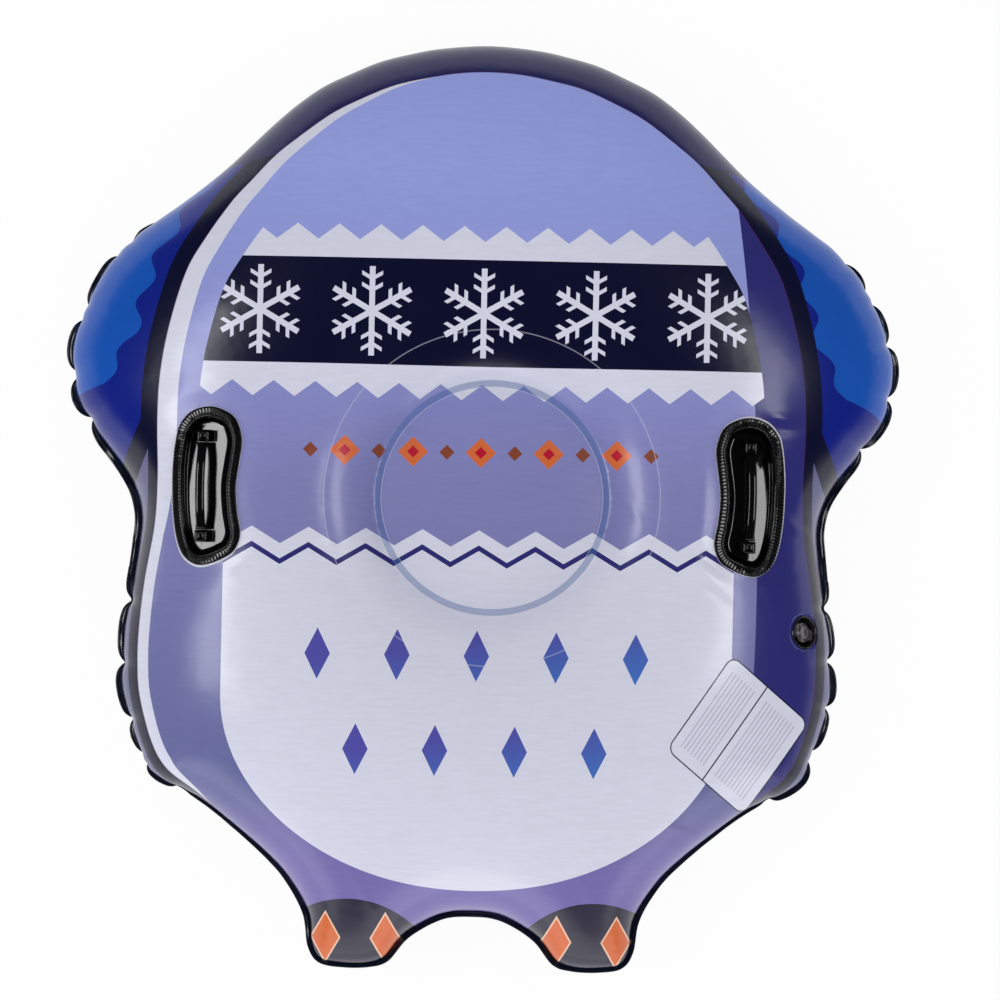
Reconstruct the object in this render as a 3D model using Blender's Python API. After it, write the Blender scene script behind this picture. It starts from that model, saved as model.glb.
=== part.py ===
"""Inflatable snow sled: two welded PVC sheets, a central baffle, two moulded handles and a valve.

The sled lies flat with its head towards +Y and +Z up. Its bottom sheet rests on z = 0 and the
origin is the centre of the outline. Both sheets take the shape of a pressurised membrane that is
held along its rim and along the baffle ring. Layers that lie on each other are slabs of one and
the same surface, so the gap between them is constant.
"""

import math
from dataclasses import dataclass

import bpy
import numpy as np
from mathutils import Vector
from mathutils.bvhtree import BVHTree
from mathutils.geometry import delaunay_2d_cdt

# Overall sizes, in metres
OVERALL_LENGTH = 0.990
OVERALL_WIDTH = 0.888
SEAM_HEIGHT = 0.088
TOP_RISE = 0.122
BOTTOM_BULGE = 0.097

# Sheets and clearances
SHEET_THICKNESS = 0.0006
GAP = 0.0003

# Perimeter weld band
SEAM_SHOW = 0.0095
SEAM_THICKNESS = 0.0010
SEAM_TONGUE = 0.0035
SEAM_BEVEL = 0.0015
RIM_OVERHANG = 0.0125
LEAST_OVERHANG_SHARE = 0.05
RIM_LIP = 0.0015
SEAM_NOTCH_DEG = 1.4

# Central baffle
RING_OFFSET_X = 0.0127
RING_OFFSET_Y = 0.0126
RING_RADIUS = 0.1215
RING_WIDTH = 0.0070
RING_RISE = 0.070
RING_DROP = 0.060
DOME_RISE = 0.012
DOME_DROP = 0.010
PATCH_RADIUS = 0.178
PATCH_THICKNESS = 0.0006
BAND_THICKNESS = 0.0008
WEB_THICKNESS = 0.0008

# Handles
HANDLE_LENGTH = 0.168
HANDLE_X_SHARE = 0.650
HANDLE_Y_SHARE = 0.0382
HANDLE_X = OVERALL_WIDTH / 2 * HANDLE_X_SHARE
HANDLE_Y = OVERALL_LENGTH / 2 * HANDLE_Y_SHARE
HANDLE_FLANGE_WIDTH = 0.0100
HANDLE_HOLE_INSET = 0.0060
HANDLE_FLANGE_THICKNESS = 0.0016
HANDLE_LIP_ROUND = 0.0020
CUP_DEPTH = 0.0260
CUP_WALL = 0.0018
CUP_DRAFT = 0.0030
CUP_FILLET = 0.0040
BACKING_THICKNESS = 0.0004
BACKING_MARGIN = 0.0015
GRIP_SHIFT = 0.0040
GRIP_WIDTH = 0.0110
GRIP_THICKNESS = 0.0070
GRIP_END_DROP = 0.0060
GRIP_ARCH = 0.0090
LUG_END_CLEARANCE = 0.0075
LUG_LENGTH = 0.0130
LUG_WIDTH = 0.0140
LUG_BEVEL = 0.0020
LUG_TOP_DROP = 0.0010

# Valve
VALVE_X_SHARE = 0.78446
VALVE_Y_SHARE = -0.24848
VALVE_X = OVERALL_WIDTH / 2 * VALVE_X_SHARE
VALVE_Y = OVERALL_LENGTH / 2 * VALVE_Y_SHARE
VALVE_TURN_DEG = -19.0
VALVE_FLANGE_RADIUS = 0.0225
VALVE_HOLE_RADIUS = 0.0180
VALVE_LIP_RADIUS = 0.0172
VALVE_FLANGE_THICKNESS = 0.0010
VALVE_LIP_RISE = 0.0006
VALVE_CUP_DEPTH = 0.0125
VALVE_CUP_TAPER = 0.0010
VALVE_WALL = 0.0012
STEM_RADIUS = 0.0085
STEM_CLEARANCE = 0.0004
STEM_BORE_RADIUS = 0.0066
STEM_COLLAR_RADIUS = 0.0104
STEM_COLLAR_THICKNESS = 0.0012
STEM_TOP_DROP = 0.0045
STEM_LENGTH = 0.0290
FLAP_RADIUS = 0.0076
FLAP_THICKNESS = 0.0008
CAP_RADIUS = 0.0104
CAP_THICKNESS = 0.0014
BOSS_RADIUS = 0.0072
BOSS_HEIGHT = 0.0012
PLUG_TOP_RADIUS = 0.0062
PLUG_TIP_RADIUS = 0.0049
PLUG_DEPTH = 0.0035
WING_WIDTH = 0.0130
TAB_REACH = 0.0136
STRAP_THICKNESS = 0.0010
STRAP_ROOT_REACH = 0.0128
STRAP_ROOT_RISE = 0.0005

# How finely the surfaces are divided
RIM_COUNT = 144
BOTTOM_RIM_COUNT = 96
SEAM_COUNT = 300
RING_COUNT = 48
HANDLE_COUNT = 40
VALVE_COUNT = 24
FEATURE_MARGIN = 0.0045

# Half of the outline, from the crotch at the bottom to the head at the top. Each row holds
# x as a share of half the width, y as a share of half the length, the share of SEAM_SHOW that
# the weld band shows (less than nothing where the bulge hides it), the share of RIM_OVERHANG,
# and how strongly the band is scalloped.
OUTLINE_SHARES = [
    (0.000, -0.881, 0.75, 0.08, 0.00),
    (0.071, -0.889, 0.75, 0.08, 0.00),
    (0.148, -0.929, 0.75, 0.08, 0.00),
    (0.196, -0.980, 0.75, 0.08, 0.00),
    (0.241, -0.997, 0.75, 0.08, 0.20),
    (0.304, -0.999, 0.75, 0.08, 0.20),
    (0.365, -0.989, 0.75, 0.08, 0.20),
    (0.394, -0.952, 0.75, 0.08, 0.20),
    (0.405, -0.881, 0.75, 0.08, 0.00),
    (0.450, -0.809, 0.65, 0.10, 0.00),
    (0.501, -0.759, 0.60, 0.12, 0.00),
    (0.580, -0.697, 0.50, 0.15, 0.00),
    (0.663, -0.641, 0.45, 0.20, 0.30),
    (0.736, -0.618, 0.75, 0.40, 1.00),
    (0.796, -0.580, 0.80, 0.40, 1.00),
    (0.825, -0.519, 0.80, 0.40, 1.00),
    (0.848, -0.456, 0.80, 0.40, 1.00),
    (0.865, -0.392, 0.80, 0.40, 1.00),
    (0.863, -0.323, 0.80, 0.40, 1.00),
    (0.860, -0.262, 0.80, 0.35, 1.00),
    (0.847, -0.198, 0.80, 0.20, 0.60),
    (0.839, -0.140, 0.85, 0.10, 0.00),
    (0.832, -0.084, 0.90, 0.08, 0.00),
    (0.828, -0.031, 0.90, 0.08, 0.00),
    (0.841, 0.020, 0.90, 0.12, 0.00),
    (0.875, 0.075, 0.80, 0.20, 0.30),
    (0.925, 0.137, 0.65, 0.35, 1.00),
    (0.973, 0.206, 0.60, 0.50, 1.00),
    (0.992, 0.274, 0.60, 0.50, 1.00),
    (0.994, 0.338, 0.60, 0.50, 1.00),
    (0.972, 0.408, 0.60, 0.50, 1.00),
    (0.941, 0.470, 0.55, 0.50, 1.00),
    (0.900, 0.526, 0.40, 0.60, 1.00),
    (0.843, 0.571, 0.10, 0.80, 0.50),
    (0.782, 0.611, -0.30, 1.00, 0.00),
    (0.724, 0.649, -0.30, 1.00, 0.00),
    (0.669, 0.688, -0.30, 1.00, 0.00),
    (0.616, 0.729, -0.30, 1.00, 0.00),
    (0.565, 0.774, -0.30, 1.00, 0.00),
    (0.513, 0.820, -0.30, 1.00, 0.00),
    (0.458, 0.864, -0.30, 1.00, 0.00),
    (0.397, 0.904, -0.30, 1.00, 0.00),
    (0.330, 0.934, -0.30, 1.00, 0.00),
    (0.261, 0.961, -0.30, 1.00, 0.00),
    (0.188, 0.979, -0.30, 1.00, 0.00),
    (0.114, 0.992, -0.30, 1.00, 0.00),
    (0.000, 1.000, -0.30, 1.00, 0.00),
]

# Directions, in degrees from +X seen from the outline's centre, at which the weld band folds under
NOTCH_DIRECTIONS_DEG = (35.5, 30.0, 22.5, 15.0, 8.5, -19.0, -27.0, -34.0, -39.5, -44.0)

# The edge of a handle's flange, across (towards the middle of the sled) and along (towards the
# head), as shares of the handle's length
HANDLE_OUTLINE_SHARES = [
    (0.002, 0.500),
    (0.095, 0.482),
    (0.173, 0.430),
    (0.210, 0.342),
    (0.218, 0.266),
    (0.202, 0.146),
    (0.185, 0.000),
    (0.196, -0.158),
    (0.217, -0.279),
    (0.206, -0.355),
    (0.165, -0.421),
    (0.076, -0.472),
    (-0.019, -0.500),
    (-0.089, -0.485),
    (-0.152, -0.425),
    (-0.190, -0.317),
    (-0.211, -0.177),
    (-0.219, -0.013),
    (-0.217, 0.139),
    (-0.200, 0.298),
    (-0.171, 0.393),
    (-0.101, 0.469),
]

# Rows of surface points from the rim inwards: share of the way to the ring, and how many rim
# points one point of the row stands for
SHEET_ROW_SHARES = [
    (0.012, 1),
    (0.045, 1),
    (0.100, 1),
    (0.170, 2),
    (0.260, 2),
    (0.370, 2),
    (0.500, 2),
    (0.640, 3),
    (0.770, 3),
    (0.880, 3),
    (0.950, 3),
]

# Elliptical curl from the widest line of a bulge in to the weld, as shares of a quarter turn
CURL_SHARES = (0.5, 1.0)

BLACK = (0.010, 0.010, 0.014, 1.0)
SMOKE = (0.060, 0.058, 0.066, 1.0)
NAVY = (0.006, 0.010, 0.040, 1.0)
LAVENDER = (0.270, 0.280, 0.600, 1.0)
ROYAL = (0.010, 0.030, 0.260, 1.0)
CLEAR_BLUE = (0.200, 0.300, 0.600, 1.0)
WHITE = (0.800, 0.800, 0.820, 1.0)


@dataclass
class Rim:
    """Closed rim curves of the sled, with one entry per direction."""

    bulge: np.ndarray
    weld: np.ndarray
    edge: np.ndarray
    overhang: np.ndarray


@dataclass
class Place:
    """A local frame: its origin and its three axes in world coordinates."""

    origin: np.ndarray
    u: np.ndarray
    v: np.ndarray
    w: np.ndarray

    def world(self, points: np.ndarray) -> np.ndarray:
        """Turn local points into world points."""
        points = np.asarray(points, dtype=float)
        return self.origin + points @ np.array([self.u, self.v, self.w])


@dataclass
class Surface:
    """A triangulated surface with its vertex normals and its named rings of vertices."""

    points: np.ndarray
    faces: np.ndarray
    normals: np.ndarray
    rings: dict

    def inside(self, name: str) -> np.ndarray:
        """Tell for each face whether its middle lies inside the named ring, seen from above."""
        middles = self.points[self.faces].mean(axis=1)[:, :2]
        return inside_polygon(self.points[self.rings[name]][:, :2], middles)

    def lifted(self, name: str, height: float) -> np.ndarray:
        """Give the named ring, moved along the surface normals."""
        index = self.rings[name]
        return self.points[index] + self.normals[index] * height


def clear_scene() -> None:
    """Remove every object of the start-up scene."""
    for item in list(bpy.data.objects):
        bpy.data.objects.remove(item, do_unlink=True)


def inside_polygon(polygon: np.ndarray, points: np.ndarray) -> np.ndarray:
    """Tell which points lie inside a closed polygon."""
    result = np.zeros(len(points), dtype=bool)
    following = np.roll(polygon, -1, axis=0)
    for start, end in zip(polygon, following):
        crosses = (start[1] > points[:, 1]) != (end[1] > points[:, 1])
        if not crosses.any():
            continue
        slope = (end[0] - start[0]) / (end[1] - start[1])
        result ^= crosses & (points[:, 0] < start[0] + slope * (points[:, 1] - start[1]))
    return result


def closed_spline(rows: np.ndarray, count: int) -> np.ndarray:
    """Sample a closed curve through the rows at equal distances in its first two columns."""
    steps = 16
    before = np.roll(rows, 1, axis=0)
    after = np.roll(rows, -1, axis=0)
    beyond = np.roll(rows, -2, axis=0)
    samples = []
    for step in range(steps):
        t = step / steps
        first = -0.5 * t**3 + t**2 - 0.5 * t
        second = 1.5 * t**3 - 2.5 * t**2 + 1.0
        third = -1.5 * t**3 + 2.0 * t**2 + 0.5 * t
        fourth = 0.5 * t**3 - 0.5 * t**2
        samples.append(first * before + second * rows + third * after + fourth * beyond)
    curve = np.stack(samples, axis=1).reshape(-1, rows.shape[1])
    closed = np.vstack([curve, curve[:1]])
    lengths = np.linalg.norm(np.diff(closed[:, :2], axis=0), axis=1)
    distance = np.concatenate([[0.0], np.cumsum(lengths)])
    wanted = np.arange(count) / count * distance[-1]
    return np.stack([np.interp(wanted, distance, column) for column in closed.T], axis=1)


def outward_normals(curve: np.ndarray) -> np.ndarray:
    """Give the outward normals of a closed curve that runs anticlockwise."""
    tangent = np.roll(curve, -1, axis=0) - np.roll(curve, 1, axis=0)
    normal = np.stack([tangent[:, 1], -tangent[:, 0]], axis=1)
    return normal / np.linalg.norm(normal, axis=1)[:, None]


def make_rim(count: int) -> Rim:
    """Build the rim curves from the outline table."""
    half = np.array(OUTLINE_SHARES)
    mirrored = half[-2:0:-1] * np.array([-1.0, 1.0, 1.0, 1.0, 1.0])
    rows = closed_spline(np.vstack([half, mirrored]), count)
    outline = rows[:, :2]
    low = outline.min(axis=0)
    high = outline.max(axis=0)
    sizes = np.array([OVERALL_WIDTH, OVERALL_LENGTH])
    outline = (outline - (low + high) / 2) / (high - low) * sizes
    normal = outward_normals(outline)
    show = rows[:, 2] * SEAM_SHOW
    overhang = np.clip(rows[:, 3], LEAST_OVERHANG_SHARE, 1.0) * RIM_OVERHANG
    direction = np.degrees(np.arctan2(outline[:, 1], np.abs(outline[:, 0])))
    notch = np.zeros(count)
    for place in NOTCH_DIRECTIONS_DEG:
        notch += np.exp(-(((direction - place) / SEAM_NOTCH_DEG) ** 2))
    shown = show * (1.0 - rows[:, 4] * np.clip(notch, 0.0, 1.0))
    bulge = outline - normal * np.clip(show, 0.0, None)[:, None]
    weld = bulge - normal * overhang[:, None]
    edge = bulge + normal * shown[:, None]
    return Rim(bulge, weld, edge, overhang)


def circle(centre: np.ndarray, radius: float, count: int) -> np.ndarray:
    """Give points on a circle, anticlockwise."""
    turn = np.arange(count) / count * math.tau
    return np.asarray(centre) + radius * np.stack([np.cos(turn), np.sin(turn)], axis=1)


def ring_centre() -> np.ndarray:
    """Give the centre of the baffle ring, seen from above."""
    return np.array([RING_OFFSET_X, RING_OFFSET_Y])


def baffle_rings() -> dict:
    """Give the circles of the baffle, seen from above."""
    centre = ring_centre()
    half_width = RING_WIDTH / 2
    return {
        "ring_inner": circle(centre, RING_RADIUS - half_width, RING_COUNT),
        "ring_outer": circle(centre, RING_RADIUS + half_width, RING_COUNT),
        "patch": circle(centre, PATCH_RADIUS, RING_COUNT),
    }


def handle_rings() -> dict:
    """Give the curves of both handles, seen from above and anticlockwise."""
    shape = closed_spline(np.array(HANDLE_OUTLINE_SHARES) * HANDLE_LENGTH, HANDLE_COUNT)
    rings = {}
    for name, side in (("left", -1.0), ("right", 1.0)):
        outline = shape * np.array([-side, 1.0]) + np.array([side * HANDLE_X, HANDLE_Y])
        if side < 0:
            outline = outline[::-1]
        normal = outward_normals(outline)
        insets = {
            "backing": -BACKING_MARGIN,
            "flange": 0.0,
            "hole": HANDLE_HOLE_INSET,
            "mouth": HANDLE_FLANGE_WIDTH,
            "middle": HANDLE_FLANGE_WIDTH + CUP_DRAFT * 2,
        }
        for part, inset in insets.items():
            rings[f"{name}_{part}"] = outline - normal * inset
    return rings


def valve_rings(place: Place, sheet: Surface) -> dict:
    """Give the valve's circles, laid on the sheet along the valve's axis, seen from above."""
    radii = {
        "valve_flange": VALVE_FLANGE_RADIUS,
        "valve_hole": VALVE_HOLE_RADIUS,
        "valve_lip": VALVE_LIP_RADIUS,
    }
    tree = BVHTree.FromPolygons(sheet.points.tolist(), sheet.faces.tolist())
    rings = {}
    for name, radius in radii.items():
        flat = circle(np.zeros(2), radius, VALVE_COUNT)
        above = place.world(np.column_stack([flat, np.full(VALVE_COUNT, VALVE_FLANGE_RADIUS)]))
        hits = [tree.ray_cast(Vector(start), Vector(-place.w))[0] for start in above.tolist()]
        rings[name] = np.array([(hit.x, hit.y) for hit in hits])
    return rings


def row_points(rim: Rim) -> np.ndarray:
    """Give the free surface points between the rim and the baffle ring."""
    centre = ring_centre()
    rows = []
    for share, step in SHEET_ROW_SHARES:
        outer = rim.bulge[::step]
        away = outer - centre
        distance = np.linalg.norm(away, axis=1)[:, None]
        inner = centre + away / distance * (RING_RADIUS + RING_WIDTH / 2)
        rows.append(outer + (inner - outer) * share)
    return np.vstack(rows)


def dome_points() -> np.ndarray:
    """Give the free surface points inside the baffle ring."""
    centre = ring_centre()
    outer = circle(centre, RING_RADIUS * 0.72, RING_COUNT // 2)
    inner = circle(centre, RING_RADIUS * 0.36, RING_COUNT // 4)
    return np.vstack([outer, inner, centre[None, :]])


def triangulate(rim: Rim, rings: dict, outermost: list) -> tuple:
    """Divide the area inside the rim into triangles that follow every ring.

    Args:
        rim: the rim curves.
        rings: named closed curves that become edges.
        outermost: names of the rings that keep free points away.

    Returns:
        The points, the triangles and the named rings as lists of point numbers.
    """
    loose = np.vstack([row_points(rim), dome_points()])
    keep = np.ones(len(loose), dtype=bool)
    for name in outermost:
        polygon = rings[name]
        wide = polygon + outward_normals(polygon) * FEATURE_MARGIN
        keep &= ~inside_polygon(wide, loose)
    for name in ("ring_inner", "ring_outer", "patch"):
        distance = np.linalg.norm(loose - ring_centre(), axis=1)
        radius = np.linalg.norm(rings[name][0] - ring_centre())
        keep &= np.abs(distance - radius) > FEATURE_MARGIN
    curves = {"rim": rim.bulge, **rings}
    points = []
    edges = []
    spans = {}
    for name, curve in curves.items():
        start = len(points)
        spans[name] = range(start, start + len(curve))
        points.extend(curve)
        edges.extend((start + i, start + (i + 1) % len(curve)) for i in range(len(curve)))
    points.extend(loose[keep])
    flat = [Vector((float(x), float(y))) for x, y in points]
    result = delaunay_2d_cdt(flat, edges, [], 1, 1e-7)
    new_index = {}
    for number, sources in enumerate(result[3]):
        for source in sources:
            new_index[source] = number
    found = np.array([(p.x, p.y) for p in result[0]])
    faces = np.array([tuple(face) for face in result[2]])
    corners = found[faces]
    first = corners[:, 1] - corners[:, 0]
    second = corners[:, 2] - corners[:, 0]
    turned = first[:, 0] * second[:, 1] - first[:, 1] * second[:, 0] < 0
    faces[turned] = faces[turned][:, ::-1]
    named = {name: np.array([new_index[i] for i in span]) for name, span in spans.items()}
    return found, faces, named


def membrane(points: np.ndarray, faces: np.ndarray, held: np.ndarray, level: np.ndarray) -> np.ndarray:
    """Solve the evenly loaded membrane on the flat triangles.

    Args:
        points: flat points.
        faces: triangles.
        held: whether a point is held.
        level: the value at the held points.

    Returns:
        The membrane's value at every point.
    """
    count = len(points)
    stiffness = np.zeros((count, count))
    load = np.zeros(count)
    corners = points[faces]
    for k in range(3):
        a = faces[:, k]
        b = faces[:, (k + 1) % 3]
        c = faces[:, (k + 2) % 3]
        to_b = corners[:, (k + 1) % 3] - corners[:, k]
        to_c = corners[:, (k + 2) % 3] - corners[:, k]
        cross = to_b[:, 0] * to_c[:, 1] - to_b[:, 1] * to_c[:, 0]
        weight = 0.5 * (to_b * to_c).sum(axis=1) / cross
        np.add.at(stiffness, (b, c), -weight)
        np.add.at(stiffness, (c, b), -weight)
        np.add.at(stiffness, (b, b), weight)
        np.add.at(stiffness, (c, c), weight)
        np.add.at(load, a, cross / 6)
    free = ~held
    value = np.where(held, level, 0.0)
    right_side = load[free] - stiffness[np.ix_(free, held)] @ value[held]
    value[free] = np.linalg.solve(stiffness[np.ix_(free, free)], right_side)
    return value


def vertex_normals(points: np.ndarray, faces: np.ndarray) -> np.ndarray:
    """Give the area-weighted normals of a triangulated surface."""
    corners = points[faces]
    cross = np.cross(corners[:, 1] - corners[:, 0], corners[:, 2] - corners[:, 0])
    normals = np.zeros_like(points)
    for k in range(3):
        np.add.at(normals, faces[:, k], cross)
    return normals / np.linalg.norm(normals, axis=1)[:, None]


def inflate(rim: Rim, rings: dict, outermost: list, rise: float, ring_rise: float, dome: float) -> Surface:
    """Build one inflated sheet surface above the seam plane.

    Args:
        rim: the rim curves.
        rings: named curves that the surface follows.
        outermost: names of the rings that keep free points away.
        rise: the greatest height above the seam plane.
        ring_rise: the height of the baffle ring above the seam plane.
        dome: how far the middle stands above the baffle ring.

    Returns:
        The surface, with heights measured from the seam plane.
    """
    flat, faces, named = triangulate(rim, rings, outermost)
    from_ring = np.linalg.norm(flat - ring_centre(), axis=1)
    inner_radius = RING_RADIUS - RING_WIDTH / 2
    within = from_ring < RING_RADIUS + RING_WIDTH / 2 + GAP
    held = within.copy()
    held[named["rim"]] = True
    lip = SEAM_THICKNESS / 2 + GAP
    scale = 1.0
    for _ in range(6):
        ring_value = ((ring_rise - lip) / scale) ** 2 / 2
        value = membrane(flat, faces, held, np.where(within, ring_value, 0.0))
        height = np.sqrt(2 * np.clip(value, 0.0, None))
        scale = (rise - lip - RIM_LIP) / height.max()
    height *= scale
    inside = np.clip(from_ring / inner_radius, 0.0, 1.0)
    height[within] = ring_rise - lip + (dome * (1.0 - inside**2))[within]
    reach = np.linalg.norm(rim.bulge - ring_centre(), axis=1)
    angle = np.arctan2(*(rim.bulge - ring_centre()).T[::-1])
    order = np.argsort(angle)
    own_angle = np.arctan2(*(flat - ring_centre()).T[::-1])
    own_reach = np.interp(own_angle, angle[order], reach[order], period=math.tau)
    own_overhang = np.interp(own_angle, angle[order], rim.overhang[order], period=math.tau)
    share = np.clip((from_ring - inner_radius) / (own_reach - inner_radius), 0.0, 1.0)
    height += (RIM_LIP + own_overhang) * share**2 + lip
    points = np.column_stack([flat, height])
    rim_index = named["rim"]
    top = points[rim_index]
    previous = rim_index
    for turn_share in CURL_SHARES:
        turn = turn_share * math.pi / 2
        across = rim.bulge + (rim.weld - rim.bulge) * (1.0 - math.cos(turn))
        down = top[:, 2] - (top[:, 2] - lip) * math.sin(turn)
        start = len(points)
        points = np.vstack([points, np.column_stack([across, down])])
        current = np.arange(start, start + len(across))
        following_previous = np.roll(previous, -1)
        following_current = np.roll(current, -1)
        first = np.column_stack([previous, current, following_current])
        second = np.column_stack([previous, following_current, following_previous])
        faces = np.vstack([faces, first, second])
        previous = current
    named["weld"] = previous
    return Surface(points, faces, vertex_normals(points, faces), named)


def settle(surface: Surface) -> Surface:
    """Turn a surface over, set it on the floor and flatten what would sink in."""
    points = surface.points * np.array([1.0, 1.0, -1.0])
    points[:, 2] = np.maximum(points[:, 2] + SEAM_HEIGHT, 0.0)
    faces = surface.faces[:, ::-1]
    return Surface(points, faces, vertex_normals(points, faces), surface.rings)


def add_object(name: str, points: np.ndarray, faces: list, colour: tuple, origin=None) -> bpy.types.Object:
    """Make one object with its own material.

    Args:
        name: the node's name.
        points: world points.
        faces: faces as point numbers, turned either all outwards or all inwards.
        colour: base colour.
        origin: where the object's origin goes, on its joint's axis if it moves.

    Returns:
        The new object.
    """
    points = np.asarray(points, dtype=float)
    corners = points[np.asarray(faces)]
    volume = (corners[:, 0] * np.cross(corners[:, 1], corners[:, 2])).sum()
    if volume < 0:
        faces = [tuple(face)[::-1] for face in faces]
    origin = np.zeros(3) if origin is None else np.asarray(origin)
    mesh = bpy.data.meshes.new(name)
    mesh.from_pydata((points - origin).tolist(), [], [tuple(int(i) for i in face) for face in faces])
    mesh.update()
    item = bpy.data.objects.new(name, mesh)
    item.location = origin.tolist()
    bpy.context.scene.collection.objects.link(item)
    material = bpy.data.materials.new(name)
    material.use_nodes = True
    shader = material.node_tree.nodes["Principled BSDF"]
    shader.inputs["Base Color"].default_value = colour
    shader.inputs["Roughness"].default_value = 0.25
    mesh.materials.append(material)
    return item


def slab(surface: Surface, chosen: np.ndarray, low: float, high: float) -> tuple:
    """Build a closed layer of the surface between two distances along its normals.

    Args:
        surface: the surface.
        chosen: whether a face belongs to the layer.
        low: distance of the layer's lower side.
        high: distance of the layer's upper side.

    Returns:
        Points and triangles.
    """
    faces = surface.faces[chosen]
    used, compact = np.unique(faces, return_inverse=True)
    compact = compact.reshape(faces.shape)
    base = surface.points[used]
    normal = surface.normals[used]
    count = len(used)
    points = np.vstack([base + normal * high, base + normal * low])
    triangles = [tuple(face) for face in compact]
    triangles += [tuple(face[::-1] + count) for face in compact]
    edges = {}
    for face in compact:
        for start, end in ((face[0], face[1]), (face[1], face[2]), (face[2], face[0])):
            edges[(start, end)] = True
    for start, end in edges:
        if (end, start) not in edges:
            triangles.append((end, start, start + count))
            triangles.append((end, start + count, end + count))
    return points, triangles


def loft(rings: list, endless: bool) -> tuple:
    """Join rings of equal length into a closed solid.

    Args:
        rings: the rings, in order along the profile.
        endless: whether the last ring joins the first; if not, both ends are closed.

    Returns:
        Points and triangles.
    """
    count = len(rings[0])
    points = np.vstack(rings)
    triangles = []
    pairs = len(rings) if endless else len(rings) - 1
    for row in range(pairs):
        start = row * count
        other = (row + 1) % len(rings) * count
        for i in range(count):
            j = (i + 1) % count
            triangles.append((start + i, start + j, other + j))
            triangles.append((start + i, other + j, other + i))
    if not endless:
        last = (len(rings) - 1) * count
        first_middle = len(points)
        points = np.vstack([points, rings[0].mean(axis=0), rings[-1].mean(axis=0)])
        for i in range(count):
            j = (i + 1) % count
            triangles.append((first_middle, j, i))
            triangles.append((first_middle + 1, last + i, last + j))
    return points, triangles


def disc_rings(profile: list, count: int) -> list:
    """Turn (radius, height) pairs into local rings round the w axis."""
    rings = []
    for radius, height in profile:
        flat = circle(np.zeros(2), radius, count)
        rings.append(np.column_stack([flat, np.full(count, height)]))
    return rings


def build_seam(rim: Rim) -> None:
    """Build the welded band round the rim."""
    normal = outward_normals(rim.weld)
    inner = rim.weld - normal * SEAM_TONGUE
    width = np.linalg.norm(rim.edge - inner, axis=1)[:, None]
    bevel = np.minimum(SEAM_BEVEL, width / 3)
    before_edge = rim.edge - (rim.edge - inner) / width * bevel
    half = SEAM_THICKNESS / 2
    profile = ((inner, half), (before_edge, half), (rim.edge, 0.0), (before_edge, -half), (inner, -half))
    count = len(inner)
    rings = [np.column_stack([flat, np.full(count, SEAM_HEIGHT + lift)]) for flat, lift in profile]
    add_object("perimeter_seam", *loft(rings, True), NAVY)


def build_baffle(top: Surface, bottom: Surface) -> None:
    """Build the patches, the weld rings and the web that joins them."""
    for side, surface, inwards in (("top", top, -1.0), ("bottom", bottom, -1.0)):
        patch_start = SHEET_THICKNESS + GAP
        patch_end = patch_start + PATCH_THICKNESS
        band_start = patch_end + GAP
        band_end = band_start + BAND_THICKNESS
        round_ring = surface.inside("patch") & ~surface.inside("ring_inner")
        band = surface.inside("ring_outer") & ~surface.inside("ring_inner")
        patch = slab(surface, round_ring, inwards * patch_end, inwards * patch_start)
        add_object(f"baffle_patch_{side}", *patch, CLEAR_BLUE)
        ring = slab(surface, band, inwards * band_end, inwards * band_start)
        add_object(f"baffle_ring_{side}", *ring, ROYAL)
    depth = SHEET_THICKNESS + PATCH_THICKNESS + BAND_THICKNESS + 3 * GAP
    ring_top = top.points[top.rings["ring_inner"]][:, 2].min()
    ring_bottom = bottom.points[bottom.rings["ring_inner"]][:, 2].max()
    rings = []
    for radius, height in (
        (RING_RADIUS + WEB_THICKNESS / 2, ring_bottom + depth),
        (RING_RADIUS + WEB_THICKNESS / 2, ring_top - depth),
        (RING_RADIUS - WEB_THICKNESS / 2, ring_top - depth),
        (RING_RADIUS - WEB_THICKNESS / 2, ring_bottom + depth),
    ):
        flat = circle(ring_centre(), radius, RING_COUNT)
        rings.append(np.column_stack([flat, np.full(RING_COUNT, height)]))
    add_object("baffle_web", *loft(rings, True), WHITE)


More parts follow.
